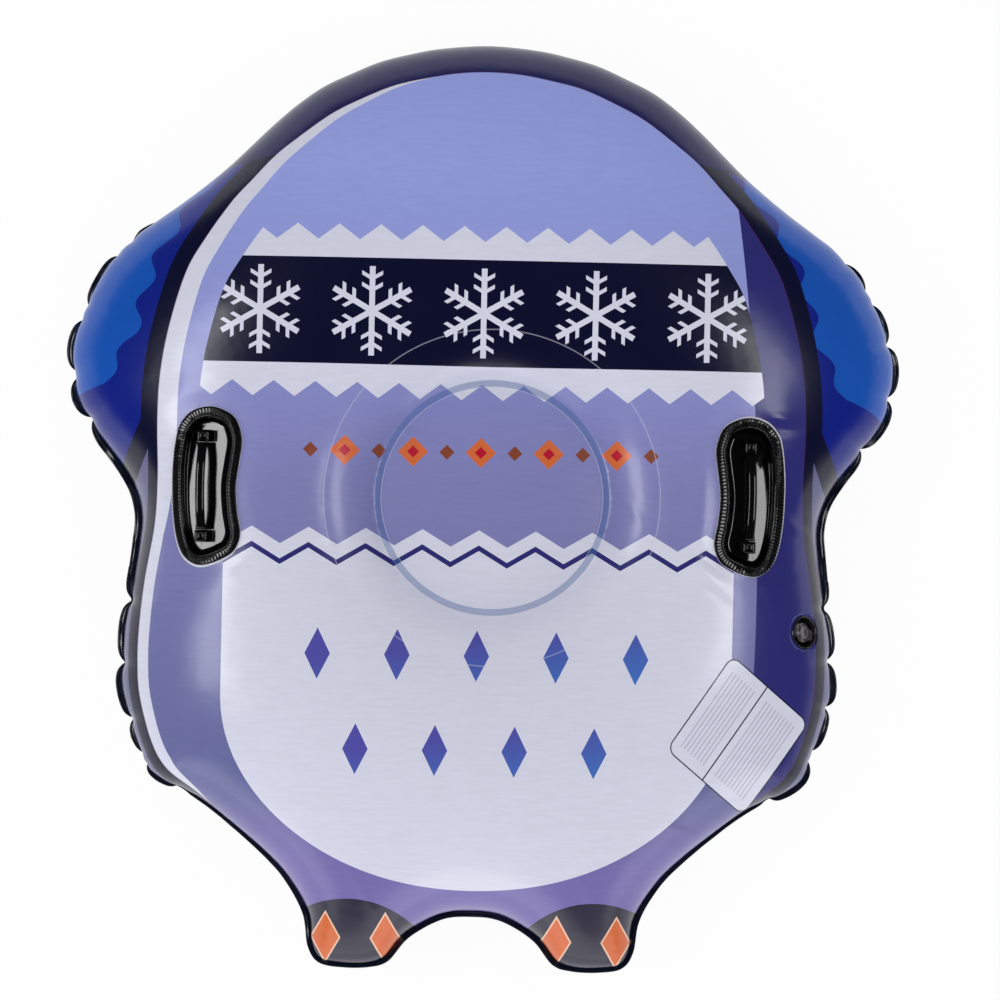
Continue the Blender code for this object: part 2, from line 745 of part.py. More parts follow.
def build_handle(top: Surface, name: str, side: float) -> None:
    """Build the five pieces of one handle.

    Args:
        top: the top sheet's surface.
        name: left or right.
        side: -1 for the left handle, 1 for the right one.
    """
    prefix = f"handle_{name}"
    round_hole = top.inside(f"{name}_backing") & ~top.inside(f"{name}_hole")
    backing = slab(top, round_hole, GAP, GAP + BACKING_THICKNESS)
    add_object(f"{prefix}_backing", *backing, WHITE)

    lift = 2 * GAP + BACKING_THICKNESS
    face = lift + HANDLE_FLANGE_THICKNESS
    outline = top.points[top.rings[f"{name}_flange"]][:, :2]
    normal = outward_normals(outline)
    level = top.points[top.rings[f"{name}_mouth"]][:, 2].mean()
    floor = level - CUP_DEPTH

    def at_height(inset: float, height: np.ndarray) -> np.ndarray:
        return np.column_stack([outline - normal * inset, height])

    even = np.ones(len(outline))
    mouth = top.lifted(f"{name}_mouth", face)
    inner_foot = HANDLE_FLANGE_WIDTH + CUP_DRAFT
    rings = [
        at_height(inner_foot + CUP_FILLET, even * floor),
        at_height(inner_foot, even * floor + CUP_FILLET / 2),
        at_height(HANDLE_FLANGE_WIDTH + HANDLE_LIP_ROUND / 2, mouth[:, 2] - HANDLE_LIP_ROUND),
        mouth,
        top.lifted(f"{name}_flange", face),
        top.lifted(f"{name}_flange", lift),
        top.lifted(f"{name}_hole", lift),
        at_height(HANDLE_FLANGE_WIDTH - CUP_WALL, mouth[:, 2] - HANDLE_FLANGE_THICKNESS - HANDLE_LIP_ROUND),
        at_height(inner_foot - CUP_WALL, even * floor + CUP_FILLET / 2),
        at_height(inner_foot + CUP_FILLET - CUP_WALL, even * floor - CUP_WALL),
    ]
    add_object(f"{prefix}_base", *loft(rings, False), BLACK)

    centre = np.array([side * (HANDLE_X + GRIP_SHIFT), HANDLE_Y, floor])
    place = Place(centre, np.array([-side, 0.0, 0.0]), np.array([0.0, 1.0, 0.0]), np.array([0.0, 0.0, 1.0]))
    grip_end = CUP_DEPTH - GRIP_END_DROP
    lug_top = CUP_DEPTH - LUG_TOP_DROP
    half_width = LUG_WIDTH / 2
    half_length = LUG_LENGTH / 2
    floor_end = HANDLE_LENGTH / 2 - inner_foot - CUP_FILLET
    lug_place = floor_end - LUG_END_CLEARANCE - half_length
    for lug, along in (("upper", lug_place), ("lower", -lug_place)):
        layers = ((0.0, GAP), (0.0, lug_top - LUG_BEVEL), (LUG_BEVEL, lug_top))
        rings = []
        for inset, height in layers:
            x = half_width - inset
            y = half_length - inset
            square = np.array([(x, y), (-x, y), (-x, -y), (x, -y)]) + np.array([0.0, along])
            rings.append(place.world(np.column_stack([square, np.full(4, height)])))
        add_object(f"{prefix}_lug_{lug}", *loft(rings, False), BLACK)

    reach = lug_place - half_length - GAP
    stations = np.linspace(-1.0, 1.0, 13)
    turn = np.arange(10) / 10 * math.tau
    rings = []
    for station in stations:
        across = np.cos(turn) * GRIP_WIDTH / 2
        height = grip_end + GRIP_ARCH * (1.0 - station**2) + np.sin(turn) * GRIP_THICKNESS / 2
        along = np.full(len(turn), station * reach)
        rings.append(place.world(np.column_stack([across, along, height])))
    add_object(f"{prefix}_grip", *loft(rings, False), BLACK)


def valve_place(top: Surface) -> Place:
    """Find the valve's frame from the slope of the sheet round it."""
    target = np.array([VALVE_X, VALVE_Y])
    middles = top.points[top.faces].mean(axis=1)
    facing_up = np.cross(
        top.points[top.faces[:, 1]] - top.points[top.faces[:, 0]],
        top.points[top.faces[:, 2]] - top.points[top.faces[:, 0]],
    )
    distance = np.linalg.norm(middles[:, :2] - target, axis=1)
    weight = np.exp(-((distance / VALVE_HOLE_RADIUS) ** 2)) * (facing_up[:, 2] > 0)
    normal = (facing_up * weight[:, None]).sum(axis=0)
    normal /= np.linalg.norm(normal)
    nearest = np.argsort(distance + (facing_up[:, 2] <= 0))[0]
    corner = top.points[top.faces[nearest, 0]]
    plane = facing_up[nearest]
    height = corner[2] - ((target - corner[:2]) * plane[:2]).sum() / plane[2]
    downhill = normal * normal[2] - np.array([0.0, 0.0, 1.0])
    downhill /= np.linalg.norm(downhill)
    sideways = np.cross(normal, downhill)
    turn = math.radians(VALVE_TURN_DEG)
    u = downhill * math.cos(turn) + sideways * math.sin(turn)
    return Place(np.array([*target, height]), u, np.cross(normal, u), normal)


def build_valve_base(top: Surface, place: Place) -> None:
    """Build the inner flange and the recess of the valve."""
    start = -(SHEET_THICKNESS + GAP)
    end = start - VALVE_FLANGE_THICKNESS
    floor = -VALVE_CUP_DEPTH
    mouth_radius = VALVE_LIP_RADIUS - VALVE_WALL
    foot_radius = mouth_radius - VALVE_CUP_TAPER
    throat_radius = STEM_RADIUS + STEM_CLEARANCE
    lip = top.lifted("valve_lip", VALVE_LIP_RISE)
    lip_low = top.lifted("valve_lip", start)
    inwards = (place.origin - lip) * (VALVE_WALL / VALVE_LIP_RADIUS)
    inwards -= (inwards @ place.w)[:, None] * place.w
    below = floor - VALVE_WALL
    inner = disc_rings([(foot_radius, floor), (throat_radius, floor)], VALVE_COUNT)
    outer = disc_rings([(throat_radius, below), (foot_radius + VALVE_WALL, below)], VALVE_COUNT)
    rings = [
        top.lifted("valve_flange", start),
        top.lifted("valve_hole", start),
        lip_low,
        lip,
        lip + inwards,
        place.world(inner[0]),
        place.world(inner[1]),
        place.world(outer[0]),
        place.world(outer[1]),
        top.lifted("valve_hole", end),
        top.lifted("valve_flange", end),
    ]
    add_object("valve_base", *loft(rings, True), SMOKE)


def build_valve_movers(place: Place) -> None:
    """Build the stem, the check flap, the plug and its strap."""
    rim = -STEM_TOP_DROP
    foot = rim - STEM_LENGTH
    collar_low = rim - STEM_COLLAR_THICKNESS
    stem_profile = [
        (STEM_BORE_RADIUS, rim),
        (STEM_COLLAR_RADIUS, rim),
        (STEM_COLLAR_RADIUS, collar_low),
        (STEM_RADIUS, collar_low),
        (STEM_RADIUS, foot),
        (STEM_BORE_RADIUS, foot),
    ]
    stem = [place.world(ring) for ring in disc_rings(stem_profile, VALVE_COUNT)]
    stem_origin = place.world(np.array([0.0, 0.0, rim]))
    add_object("valve_stem", *loft(stem, True), SMOKE, stem_origin)

    flap_top = foot - GAP
    flap_profile = [(FLAP_RADIUS, flap_top - FLAP_THICKNESS), (FLAP_RADIUS, flap_top)]
    flap = [place.world(ring) for ring in disc_rings(flap_profile, VALVE_COUNT)]
    flap_origin = place.world(np.array([-FLAP_RADIUS, 0.0, flap_top]))
    add_object("valve_flap", *loft(flap, False), SMOKE, flap_origin)

    seat = rim + GAP
    cap_top = seat + CAP_THICKNESS
    half_wing = WING_WIDTH / 2
    tab_turn = math.asin(half_wing / CAP_RADIUS)
    turn = np.arange(VALVE_COUNT) / VALVE_COUNT * math.tau
    signed = (turn + math.pi) % math.tau - math.pi
    cap = CAP_RADIUS * np.column_stack([np.cos(turn), np.sin(turn)])
    on_tab = np.abs(signed) < tab_turn
    cap[on_tab, 0] = TAB_REACH
    cap[on_tab, 1] = signed[on_tab] / tab_turn * half_wing
    plug_low = seat - PLUG_DEPTH
    boss_round = BOSS_HEIGHT / 2
    local = [
        disc_rings([(PLUG_TIP_RADIUS, plug_low)], VALVE_COUNT)[0],
        disc_rings([(PLUG_TOP_RADIUS, seat)], VALVE_COUNT)[0],
        np.column_stack([cap, np.full(VALVE_COUNT, seat)]),
        np.column_stack([cap, np.full(VALVE_COUNT, cap_top)]),
        disc_rings([(BOSS_RADIUS, cap_top)], VALVE_COUNT)[0],
        disc_rings([(BOSS_RADIUS - boss_round, cap_top + BOSS_HEIGHT)], VALVE_COUNT)[0],
    ]
    hinge = place.world(np.array([-STRAP_ROOT_REACH, 0.0, STRAP_ROOT_RISE]))
    plug = [place.world(ring) for ring in local]
    add_object("valve_plug", *loft(plug, False), SMOKE, hinge)

    near = -(CAP_RADIUS + GAP)
    half_strap = STRAP_THICKNESS / 2
    bend_upper = half_strap - STRAP_ROOT_REACH
    bend_lower = -half_strap - STRAP_ROOT_REACH
    cap_low = cap_top - STRAP_THICKNESS
    top_line = ((near, cap_top), (bend_upper, cap_top), (bend_upper, STRAP_ROOT_RISE))
    low_line = ((near, cap_low), (bend_lower, cap_low), (bend_lower, STRAP_ROOT_RISE))
    strap = []
    for (upper_u, upper_w), (lower_u, lower_w) in zip(top_line, low_line):
        corners = [
            (upper_u, half_wing, upper_w),
            (upper_u, -half_wing, upper_w),
            (lower_u, -half_wing, lower_w),
            (lower_u, half_wing, lower_w),
        ]
        strap.append(place.world(np.array(corners)))
    add_object("valve_strap", *loft(strap, False), SMOKE, hinge)


def build_top_sheet(top: Surface) -> None:
    """Build the printed top sheet with its three openings."""
    kept = ~top.inside("left_hole") & ~top.inside("right_hole") & ~top.inside("valve_hole")
    add_object("top_sheet", *slab(top, kept, -SHEET_THICKNESS, 0.0), LAVENDER)


def main() -> None:
    """Build the sled."""
    clear_scene()
    rim = make_rim(RIM_COUNT)
    baffle = baffle_rings()
    first = inflate(rim, baffle, [], TOP_RISE, RING_RISE, DOME_RISE)
    first.points[:, 2] += SEAM_HEIGHT
    place = valve_place(first)
    rings = {**baffle, **handle_rings(), **valve_rings(place, first)}
    keep_clear = ["left_backing", "right_backing", "valve_flange"]
    top = inflate(rim, rings, keep_clear, TOP_RISE, RING_RISE, DOME_RISE)
    top.points[:, 2] += SEAM_HEIGHT
    bottom = settle(inflate(make_rim(BOTTOM_RIM_COUNT), baffle, [], BOTTOM_BULGE, RING_DROP, DOME_DROP))

    build_top_sheet(top)
    everywhere = np.ones(len(bottom.faces), dtype=bool)
    add_object("bottom_sheet", *slab(bottom, everywhere, -SHEET_THICKNESS, 0.0), ROYAL)
    build_seam(make_rim(SEAM_COUNT))
    build_baffle(top, bottom)
    build_handle(top, "left", -1.0)
    build_handle(top, "right", 1.0)
    build_valve_base(top, place)
    build_valve_movers(place)


main()
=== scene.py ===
"""Looks of the inflatable snow sled: printed film, welded rim, moulded handles, valve and studio.

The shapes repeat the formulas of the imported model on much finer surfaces. Both sheets are
pressurised membranes that are held along their rim and along the baffle ring. The print, the
wrinkles and the ribs of the handles are added here. All lengths are metres.
"""

import logging
import math
from dataclasses import dataclass
from enum import Enum

import bpy
import numpy as np
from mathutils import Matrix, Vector
from mathutils.bvhtree import BVHTree
from mathutils.geometry import delaunay_2d_cdt
from mathutils.kdtree import KDTree


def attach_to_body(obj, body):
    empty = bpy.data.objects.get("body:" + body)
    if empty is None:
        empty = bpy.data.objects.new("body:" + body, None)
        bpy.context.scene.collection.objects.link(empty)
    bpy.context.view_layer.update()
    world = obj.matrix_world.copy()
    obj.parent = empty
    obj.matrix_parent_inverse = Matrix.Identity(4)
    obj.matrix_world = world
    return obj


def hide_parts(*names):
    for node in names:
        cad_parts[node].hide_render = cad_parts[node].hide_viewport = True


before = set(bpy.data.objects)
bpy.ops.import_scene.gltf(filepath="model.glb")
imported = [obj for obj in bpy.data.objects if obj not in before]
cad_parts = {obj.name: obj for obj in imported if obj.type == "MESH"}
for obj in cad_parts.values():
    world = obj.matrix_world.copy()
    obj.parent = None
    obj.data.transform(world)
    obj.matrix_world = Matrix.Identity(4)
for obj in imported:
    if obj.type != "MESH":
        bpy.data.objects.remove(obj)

LOG = logging.getLogger("sled")
# Samples between two rows of a spline
SPLINE_STEPS = 24
# Short signs for the operations of Math nodes
SIGNS = {
    "+": "ADD",
    "-": "SUBTRACT",
    "*": "MULTIPLY",
    "*+": "MULTIPLY_ADD",
    "<": "LESS_THAN",
    ">": "GREATER_THAN",
    "min": "MINIMUM",
    "max": "MAXIMUM",
    "abs": "ABSOLUTE",
}

# Half of the outline, from the crotch to the head: x as a share of half the width, y as a share of
# half the length, how much of the weld band shows, how far the bulge overhangs the weld, and how
# strongly the band is scalloped
OUTLINE_SHARES = (
    (0.000, -0.881, 0.75, 0.08, 0.00),
    (0.071, -0.889, 0.75, 0.08, 0.00),
    (0.148, -0.929, 0.75, 0.08, 0.00),
    (0.196, -0.980, 0.75, 0.08, 0.00),
    (0.241, -0.997, 0.75, 0.08, 0.20),
    (0.304, -0.999, 0.75, 0.08, 0.20),
    (0.365, -0.989, 0.75, 0.08, 0.20),
    (0.394, -0.952, 0.75, 0.08, 0.20),
    (0.405, -0.881, 0.75, 0.08, 0.00),
    (0.450, -0.809, 0.65, 0.10, 0.00),
    (0.501, -0.759, 0.60, 0.12, 0.00),
    (0.580, -0.697, 0.50, 0.15, 0.00),
    (0.663, -0.641, 0.45, 0.20, 0.30),
    (0.736, -0.618, 0.75, 0.40, 1.00),
    (0.796, -0.580, 0.80, 0.40, 1.00),
    (0.825, -0.519, 0.80, 0.40, 1.00),
    (0.848, -0.456, 0.80, 0.40, 1.00),
    (0.865, -0.392, 0.80, 0.40, 1.00),
    (0.863, -0.323, 0.80, 0.40, 1.00),
    (0.860, -0.262, 0.80, 0.35, 1.00),
    (0.847, -0.198, 0.80, 0.20, 0.60),
    (0.839, -0.140, 0.85, 0.10, 0.00),
    (0.832, -0.084, 0.90, 0.08, 0.00),
    (0.828, -0.031, 0.90, 0.08, 0.00),
    (0.841, 0.020, 0.90, 0.12, 0.00),
    (0.875, 0.075, 0.80, 0.20, 0.30),
    (0.925, 0.137, 0.65, 0.35, 1.00),
    (0.973, 0.206, 0.60, 0.50, 1.00),
    (0.992, 0.274, 0.60, 0.50, 1.00),
    (0.994, 0.338, 0.60, 0.50, 1.00),
    (0.972, 0.408, 0.60, 0.50, 1.00),
    (0.941, 0.470, 0.55, 0.50, 1.00),
    (0.900, 0.526, 0.40, 0.60, 1.00),
    (0.843, 0.571, 0.10, 0.80, 0.50),
    (0.782, 0.611, -0.30, 1.00, 0.00),
    (0.724, 0.649, -0.30, 1.00, 0.00),
    (0.669, 0.688, -0.30, 1.00, 0.00),
    (0.616, 0.729, -0.30, 1.00, 0.00),
    (0.565, 0.774, -0.30, 1.00, 0.00),
    (0.513, 0.820, -0.30, 1.00, 0.00),
    (0.458, 0.864, -0.30, 1.00, 0.00),
    (0.397, 0.904, -0.30, 1.00, 0.00),
    (0.330, 0.934, -0.30, 1.00, 0.00),
    (0.261, 0.961, -0.30, 1.00, 0.00),
    (0.188, 0.979, -0.30, 1.00, 0.00),
    (0.114, 0.992, -0.30, 1.00, 0.00),
    (0.000, 1.000, -0.30, 1.00, 0.00),
)

# Lobes of the weld band on each side: the directions in degrees at which one begins and ends, seen
# from the middle of the sled, and its width as a share of the band's full width
LEFT_LOBES = (
    (-60.0, -44.9, 0.45),
    (-44.0, -38.6, 0.62),
    (-36.6, -32.1, 0.66),
    (-31.8, -23.95, 0.80),
    (-23.9, -15.3, 0.82),
    (-15.2, 11.0, 0.90),
    (11.4, 16.3, 0.90),
    (17.4, 24.1, 0.80),
    (26.3, 33.8, 0.62),
    (36.5, 40.2, 0.36),
)
RIGHT_LOBES = (
    (-60.0, -44.6, 0.45),
    (-44.2, -36.0, 0.72),
    (-34.4, -28.4, 0.74),
    (-28.1, -22.0, 0.80),
    (-21.6, -14.4, 0.72),
    (-14.3, 9.3, 0.90),
    (9.5, 15.8, 0.84),
    (16.2, 22.9, 0.74),
    (23.3, 28.7, 0.62),
    (30.8, 35.2, 0.46),
)

# Outer edge of a handle, across (towards the middle of the sled) and along, as shares of its length
HANDLE_OUTLINE_SHARES = (
    (0.002, 0.500),
    (0.095, 0.482),
    (0.173, 0.430),
    (0.210, 0.342),
    (0.218, 0.266),
    (0.202, 0.146),
    (0.185, 0.000),
    (0.196, -0.158),
    (0.217, -0.279),
    (0.206, -0.355),
    (0.165, -0.421),
    (0.076, -0.472),
    (-0.019, -0.500),
    (-0.089, -0.485),
    (-0.152, -0.425),
    (-0.190, -0.317),
    (-0.211, -0.177),
    (-0.219, -0.013),
    (-0.217, 0.139),
    (-0.200, 0.298),
    (-0.171, 0.393),
    (-0.101, 0.469),
)

# Edge of the printed field, right half, from the tail to the head, as shares of half the width and
# half the length
FIELD_EDGE_SHARES = (
    (0.000, -0.832),
    (0.225, -0.838),
    (0.405, -0.798),
    (0.545, -0.715),
    (0.655, -0.628),
    (0.735, -0.573),
    (0.774, -0.515),
    (0.805, -0.415),
    (0.812, -0.335),
    (0.809, -0.257),
    (0.799, -0.165),
    (0.780, -0.065),
    (0.773, 0.000),
    (0.771, 0.075),
    (0.773, 0.175),
    (0.769, 0.270),
    (0.750, 0.375),
    (0.712, 0.494),
    (0.666, 0.570),
    (0.607, 0.648),
    (0.564, 0.692),
    (0.508, 0.747),
    (0.455, 0.787),
    (0.372, 0.842),
    (0.290, 0.880),
    (0.220, 0.906),
    (0.145, 0.922),
    (0.075, 0.933),
    (0.000, 0.937),
)

# Soft folds of the top sheet: where each begins and ends, its width and its height
FOLDS = (
    ((0.300, 0.106), (0.330, 0.102), 0.0045, 0.0016),
    ((0.306, 0.092), (0.340, 0.090), 0.0042, -0.0013),
    ((0.326, 0.002), (0.358, -0.013), 0.0045, -0.0026),
    ((0.330, -0.010), (0.360, -0.028), 0.0045, 0.0014),
    ((0.298, -0.067), (0.336, -0.064), 0.0045, -0.0018),
    ((0.226, -0.036), (0.266, -0.066), 0.0048, -0.0017),
    ((0.222, -0.048), (0.252, -0.072), 0.0050, 0.0013),
    ((0.236, -0.075), (0.266, -0.094), 0.0048, -0.0013),
    ((0.232, 0.062), (0.231, -0.052), 0.0120, 0.0019),
    ((0.304, -0.073), (0.341, -0.169), 0.0036, 0.0006),
    ((0.130, 0.040), (0.172, -0.010), 0.0040, 0.0006),
    ((-0.128, -0.385), (-0.105, -0.428), 0.0040, 0.0008),
    ((0.108, -0.375), (0.130, -0.420), 0.0040, 0.0008),
    ((-0.345, 0.045), (-0.312, 0.072), 0.0040, -0.0012),
    ((-0.262, -0.075), (-0.225, -0.062), 0.0050, -0.0014),
    ((-0.330, -0.090), (-0.355, -0.120), 0.0060, 0.0012),
    ((0.200, -0.330), (0.255, -0.350), 0.0050, 0.0012),
    ((-0.205, -0.345), (-0.255, -0.352), 0.0050, 0.0012),
)


def linear(code: str) -> tuple[float, float, float, float]:
    """Turn an sRGB hex colour into a linear one with full opacity.

    Args:
        code: six hexadecimal digits after a number sign.

    Returns:
        Red, green, blue and alpha.
    """
    shares = [int(code[i : i + 2], 16) / 255 for i in (1, 3, 5)]
    red, green, blue = (s / 12.92 if s <= 0.04045 else ((s + 0.055) / 1.055) ** 2.4 for s in shares)
    return red, green, blue, 1.0


def add_node(tree: bpy.types.NodeTree, kind: str, inputs: dict, **settings: str) -> bpy.types.Node:
    """Add one node with its settings and links.

    Args:
        tree: the node tree.
        kind: the node's type name.
        inputs: values or output sockets by the input's name or number.
        settings: attributes of the node.

    Returns:
        The node.
    """
    node = tree.nodes.new(kind)
    for name, value in settings.items():
        setattr(node, name, value)
    for name, value in inputs.items():
        if isinstance(value, bpy.types.NodeSocket):
            tree.links.new(value, node.inputs[name])
        else:
            node.inputs[name].default_value = value
    return node


def run_step(tree: bpy.types.NodeTree, values: dict, step: tuple) -> bpy.types.NodeSocket:
    """Work out one step with Math nodes, after the steps nested in it.

    Args:
        tree: the node tree.
        values: the sockets by name.
        step: an operation or its sign, and its inputs. An input is a number, a name or a nested
            step. Sums, products and maxima take any number of inputs.

    Returns:
        The socket of the result.
    """
    sign, *inputs = step
    found = []
    for item in inputs:
        if isinstance(item, tuple):
            item = run_step(tree, values, item)
        found.append(values[item] if isinstance(item, str) else item)
    operation = SIGNS.get(sign, sign)
    while sign in ("+", "*", "max") and len(found) > 2:
        first, second, *others = found
        joined = add_node(tree, "ShaderNodeMath", {0: first, 1: second}, operation=operation)
        found = [joined.outputs[0], *others]
    return add_node(tree, "ShaderNodeMath", dict(enumerate(found)), operation=operation).outputs[0]


def run_steps(tree: bpy.types.NodeTree, values: dict, steps: tuple) -> None:
    """Work out named numbers.

    Args:
        tree: the node tree.
        values: the sockets by name; each step adds its own.
        steps: rows of a name and what a step holds.
    """
    for name, *step in steps:
        values[name] = run_step(tree, values, step)


def cleared_tree(owner: bpy.types.ID) -> bpy.types.NodeTree:
    """Give a material or a world an empty node tree.

    Args:
        owner: the material or the world.

    Returns:
        Its node tree.
    """
    owner.use_nodes = True
    owner.node_tree.nodes.clear()
    return owner.node_tree


def inside_polygon(polygon: np.ndarray, points: np.ndarray) -> np.ndarray:
    """Tell which points lie inside a closed polygon.

    Args:
        polygon: its corners in order.
        points: the points to test.

    Returns:
        True or false for each point.
    """
    result = np.zeros(len(points), dtype=bool)
    for start, end in zip(polygon, np.roll(polygon, -1, axis=0)):
        crosses = (start[1] > points[:, 1]) != (end[1] > points[:, 1])
        if crosses.any():
            slope = (end[0] - start[0]) / (end[1] - start[1])
            result ^= crosses & (points[:, 0] < start[0] + slope * (points[:, 1] - start[1]))
    return result


def closed_spline(rows: np.ndarray, count: int) -> np.ndarray:
    """Sample a closed curve through the rows at equal distances in its first two columns.

    Args:
        rows: the rows that it runs through.
        count: how many samples to take.

    Returns:
        The samples, with the same columns as the rows.
    """
    before, after, beyond = (np.roll(rows, shift, axis=0) for shift in (1, -1, -2))
    samples = []
    for step in range(SPLINE_STEPS):
        t = step / SPLINE_STEPS
        samples.append(
            (-0.5 * t**3 + t**2 - 0.5 * t) * before
            + (1.5 * t**3 - 2.5 * t**2 + 1.0) * rows
            + (-1.5 * t**3 + 2.0 * t**2 + 0.5 * t) * after
            + (0.5 * t**3 - 0.5 * t**2) * beyond
        )
    curve = np.stack(samples, axis=1).reshape(-1, rows.shape[1])
    closed = np.vstack([curve, curve[:1]])
    lengths = np.linalg.norm(np.diff(closed[:, :2], axis=0), axis=1)
    distance = np.concatenate([[0.0], np.cumsum(lengths)])
    wanted = np.arange(count) / count * distance[-1]
    return np.stack([np.interp(wanted, distance, column) for column in closed.T], axis=1)


def outward_normals(curve: np.ndarray) -> np.ndarray:
    """Give the outward normals of a closed curve.

    Args:
        curve: its points, anticlockwise.

    Returns:
        A normal of length 1 for each point.
    """
    tangent = np.roll(curve, -1, axis=0) - np.roll(curve, 1, axis=0)
    normal = np.stack([tangent[:, 1], -tangent[:, 0]], axis=1)
    return normal / np.linalg.norm(normal, axis=1)[:, None]


def circle(centre: np.ndarray, radius: float, count: int) -> np.ndarray:
    """Give points on a circle, anticlockwise."""
    turn = np.arange(count) / count * math.tau
    return np.asarray(centre) + radius * np.stack([np.cos(turn), np.sin(turn)], axis=1)


def nearest_on(curve: np.ndarray, points: np.ndarray) -> tuple[np.ndarray, np.ndarray]:
    """Find the nearest point of a closed curve for each given point.

    Args:
        curve: the curve's points.
        points: the points to measure from.

    Returns:
        Distances and the numbers of the nearest curve points.
    """
    tree = KDTree(len(curve))
    for number, (x, y) in enumerate(curve.tolist()):
        tree.insert((x, y, 0.0), number)
    tree.balance()
    found = [tree.find((x, y, 0.0)) for x, y in points.tolist()]
    return np.array([item[2] for item in found]), np.array([item[1] for item in found])


def vertex_normals(points: np.ndarray, faces: np.ndarray) -> np.ndarray:
    """Give the area-weighted normals of a triangulated surface.

    Args:
        points: its points.
        faces: its triangles as point numbers.

    Returns:
        A normal of length 1 for each point.
    """
    corners = points[faces]
    cross = np.cross(corners[:, 1] - corners[:, 0], corners[:, 2] - corners[:, 0])
    normals = np.zeros_like(points)
    for k in range(3):
        np.add.at(normals, faces[:, k], cross)
    return normals / np.linalg.norm(normals, axis=1)[:, None]


def loft(rings: list, endless: bool, capped: bool = False) -> tuple[np.ndarray, list]:
    """Join rings of equal length.

    Args:
        rings: the rings, in order along the profile.
        endless: whether the last ring joins the first.
        capped: whether both ends are closed with a fan.

    Returns:
        Points and faces.
    """
    count = len(rings[0])
    points = np.vstack(rings)
    faces = []
    turn = np.arange(count)
    following = (turn + 1) % count
    for row in range(len(rings) if endless else len(rings) - 1):
        start = row * count
        other = (row + 1) % len(rings) * count
        faces += np.stack([start + turn, start + following, other + following, other + turn], axis=1).tolist()
    if capped:
        middle = len(points)
        last = (len(rings) - 1) * count
        points = np.vstack([points, rings[0].mean(axis=0), rings[-1].mean(axis=0)])
        faces += [(middle, j, i) for i, j in zip(turn.tolist(), following.tolist())]
        faces += [(middle + 1, last + i, last + j) for i, j in zip(turn.tolist(), following.tolist())]
    return points, faces


def make_piece(name: str, points: np.ndarray, faces: list, finish: bpy.types.Material) -> bpy.types.Object:
    """Make one smooth-shaded object.

    Args:
        name: the piece's name.
        points: its points in the sled's frame.
        faces: its faces as point numbers.
        finish: its material.

    Returns:
        The new object.
    """
    mesh = bpy.data.meshes.new(name)
    mesh.from_pydata(np.asarray(points).tolist(), [], [tuple(face) for face in faces])
    mesh.polygons.foreach_set("use_smooth", np.ones(len(mesh.polygons), dtype=bool))
    mesh.materials.append(finish)
    mesh.update()
    item = bpy.data.objects.new(name, mesh)
    bpy.context.scene.collection.objects.link(item)
    return item


def attach(item: bpy.types.Object, body: str, *nodes: str) -> None:
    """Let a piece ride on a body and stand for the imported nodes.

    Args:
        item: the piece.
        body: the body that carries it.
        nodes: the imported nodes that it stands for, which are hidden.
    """
    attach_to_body(item, body)
    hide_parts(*nodes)


@dataclass(frozen=True)
class Rim:
    """The closed curves along the edge of the sled, one entry per direction."""

    bulge: np.ndarray
    weld: np.ndarray
    edge: np.ndarray
    normal: np.ndarray
    overhang: np.ndarray
    pinch: np.ndarray


@dataclass(frozen=True)
class Outline:
    """The sled's outline with the lobes of its weld band."""

    length: float = 0.990
    width: float = 0.888
    band_width: float = 0.0095
    overhang: float = 0.0125
    least_overhang: float = 0.05
    lobe_round_deg: float = 3.0
    pinch_width_deg: float = 0.75
    least_scalloped: float = 0.2

    def rim(self, count: int) -> Rim:
        """Build the rim curves.

        Args:
            count: how many points each curve has.

        Returns:
            The curves.
        """
        half = np.array(OUTLINE_SHARES)
        mirrored = half[-2:0:-1] * np.array([-1.0, 1.0, 1.0, 1.0, 1.0])
        rows = closed_spline(np.vstack([half, mirrored]), count)
        line = rows[:, :2]
        low, high = line.min(axis=0), line.max(axis=0)
        line = (line - (low + high) / 2) / (high - low) * np.array([self.width, self.length])
        normal = outward_normals(line)
        overhang = np.clip(rows[:, 3], self.least_overhang, 1.0) * self.overhang
        direction = np.degrees(np.arctan2(line[:, 1], np.abs(line[:, 0])))
        lobed = np.zeros(count)
        pinch = np.zeros(count)
        for table, on_side in ((LEFT_LOBES, line[:, 0] < 0), (RIGHT_LOBES, line[:, 0] >= 0)):
            for start, end, share in table:
                within = np.minimum(direction - start, end - direction)
                inner = np.clip(within / self.lobe_round_deg, 0.0, 1.0)
                lobe = share * np.sqrt(1.0 - (1.0 - inner) ** 2)
                lobed = np.where(on_side, np.maximum(lobed, lobe), lobed)
                for place in (start, end):
                    bump = np.exp(-(((direction - place) / self.pinch_width_deg) ** 2)) / 2
                    pinch += np.where(on_side, bump, 0.0)
        plain = rows[:, 2] * (1.0 - rows[:, 4])
        shown = np.where(rows[:, 4] > 0.0, np.maximum(plain, lobed), rows[:, 2]) * self.band_width
        bulge = line - normal * (np.clip(rows[:, 2], 0.0, None) * self.band_width)[:, None]
        weld = bulge - normal * overhang[:, None]
        edge = bulge + normal * shown[:, None]
        return Rim(bulge, weld, edge, normal, overhang, pinch * (rows[:, 4] > self.least_scalloped))


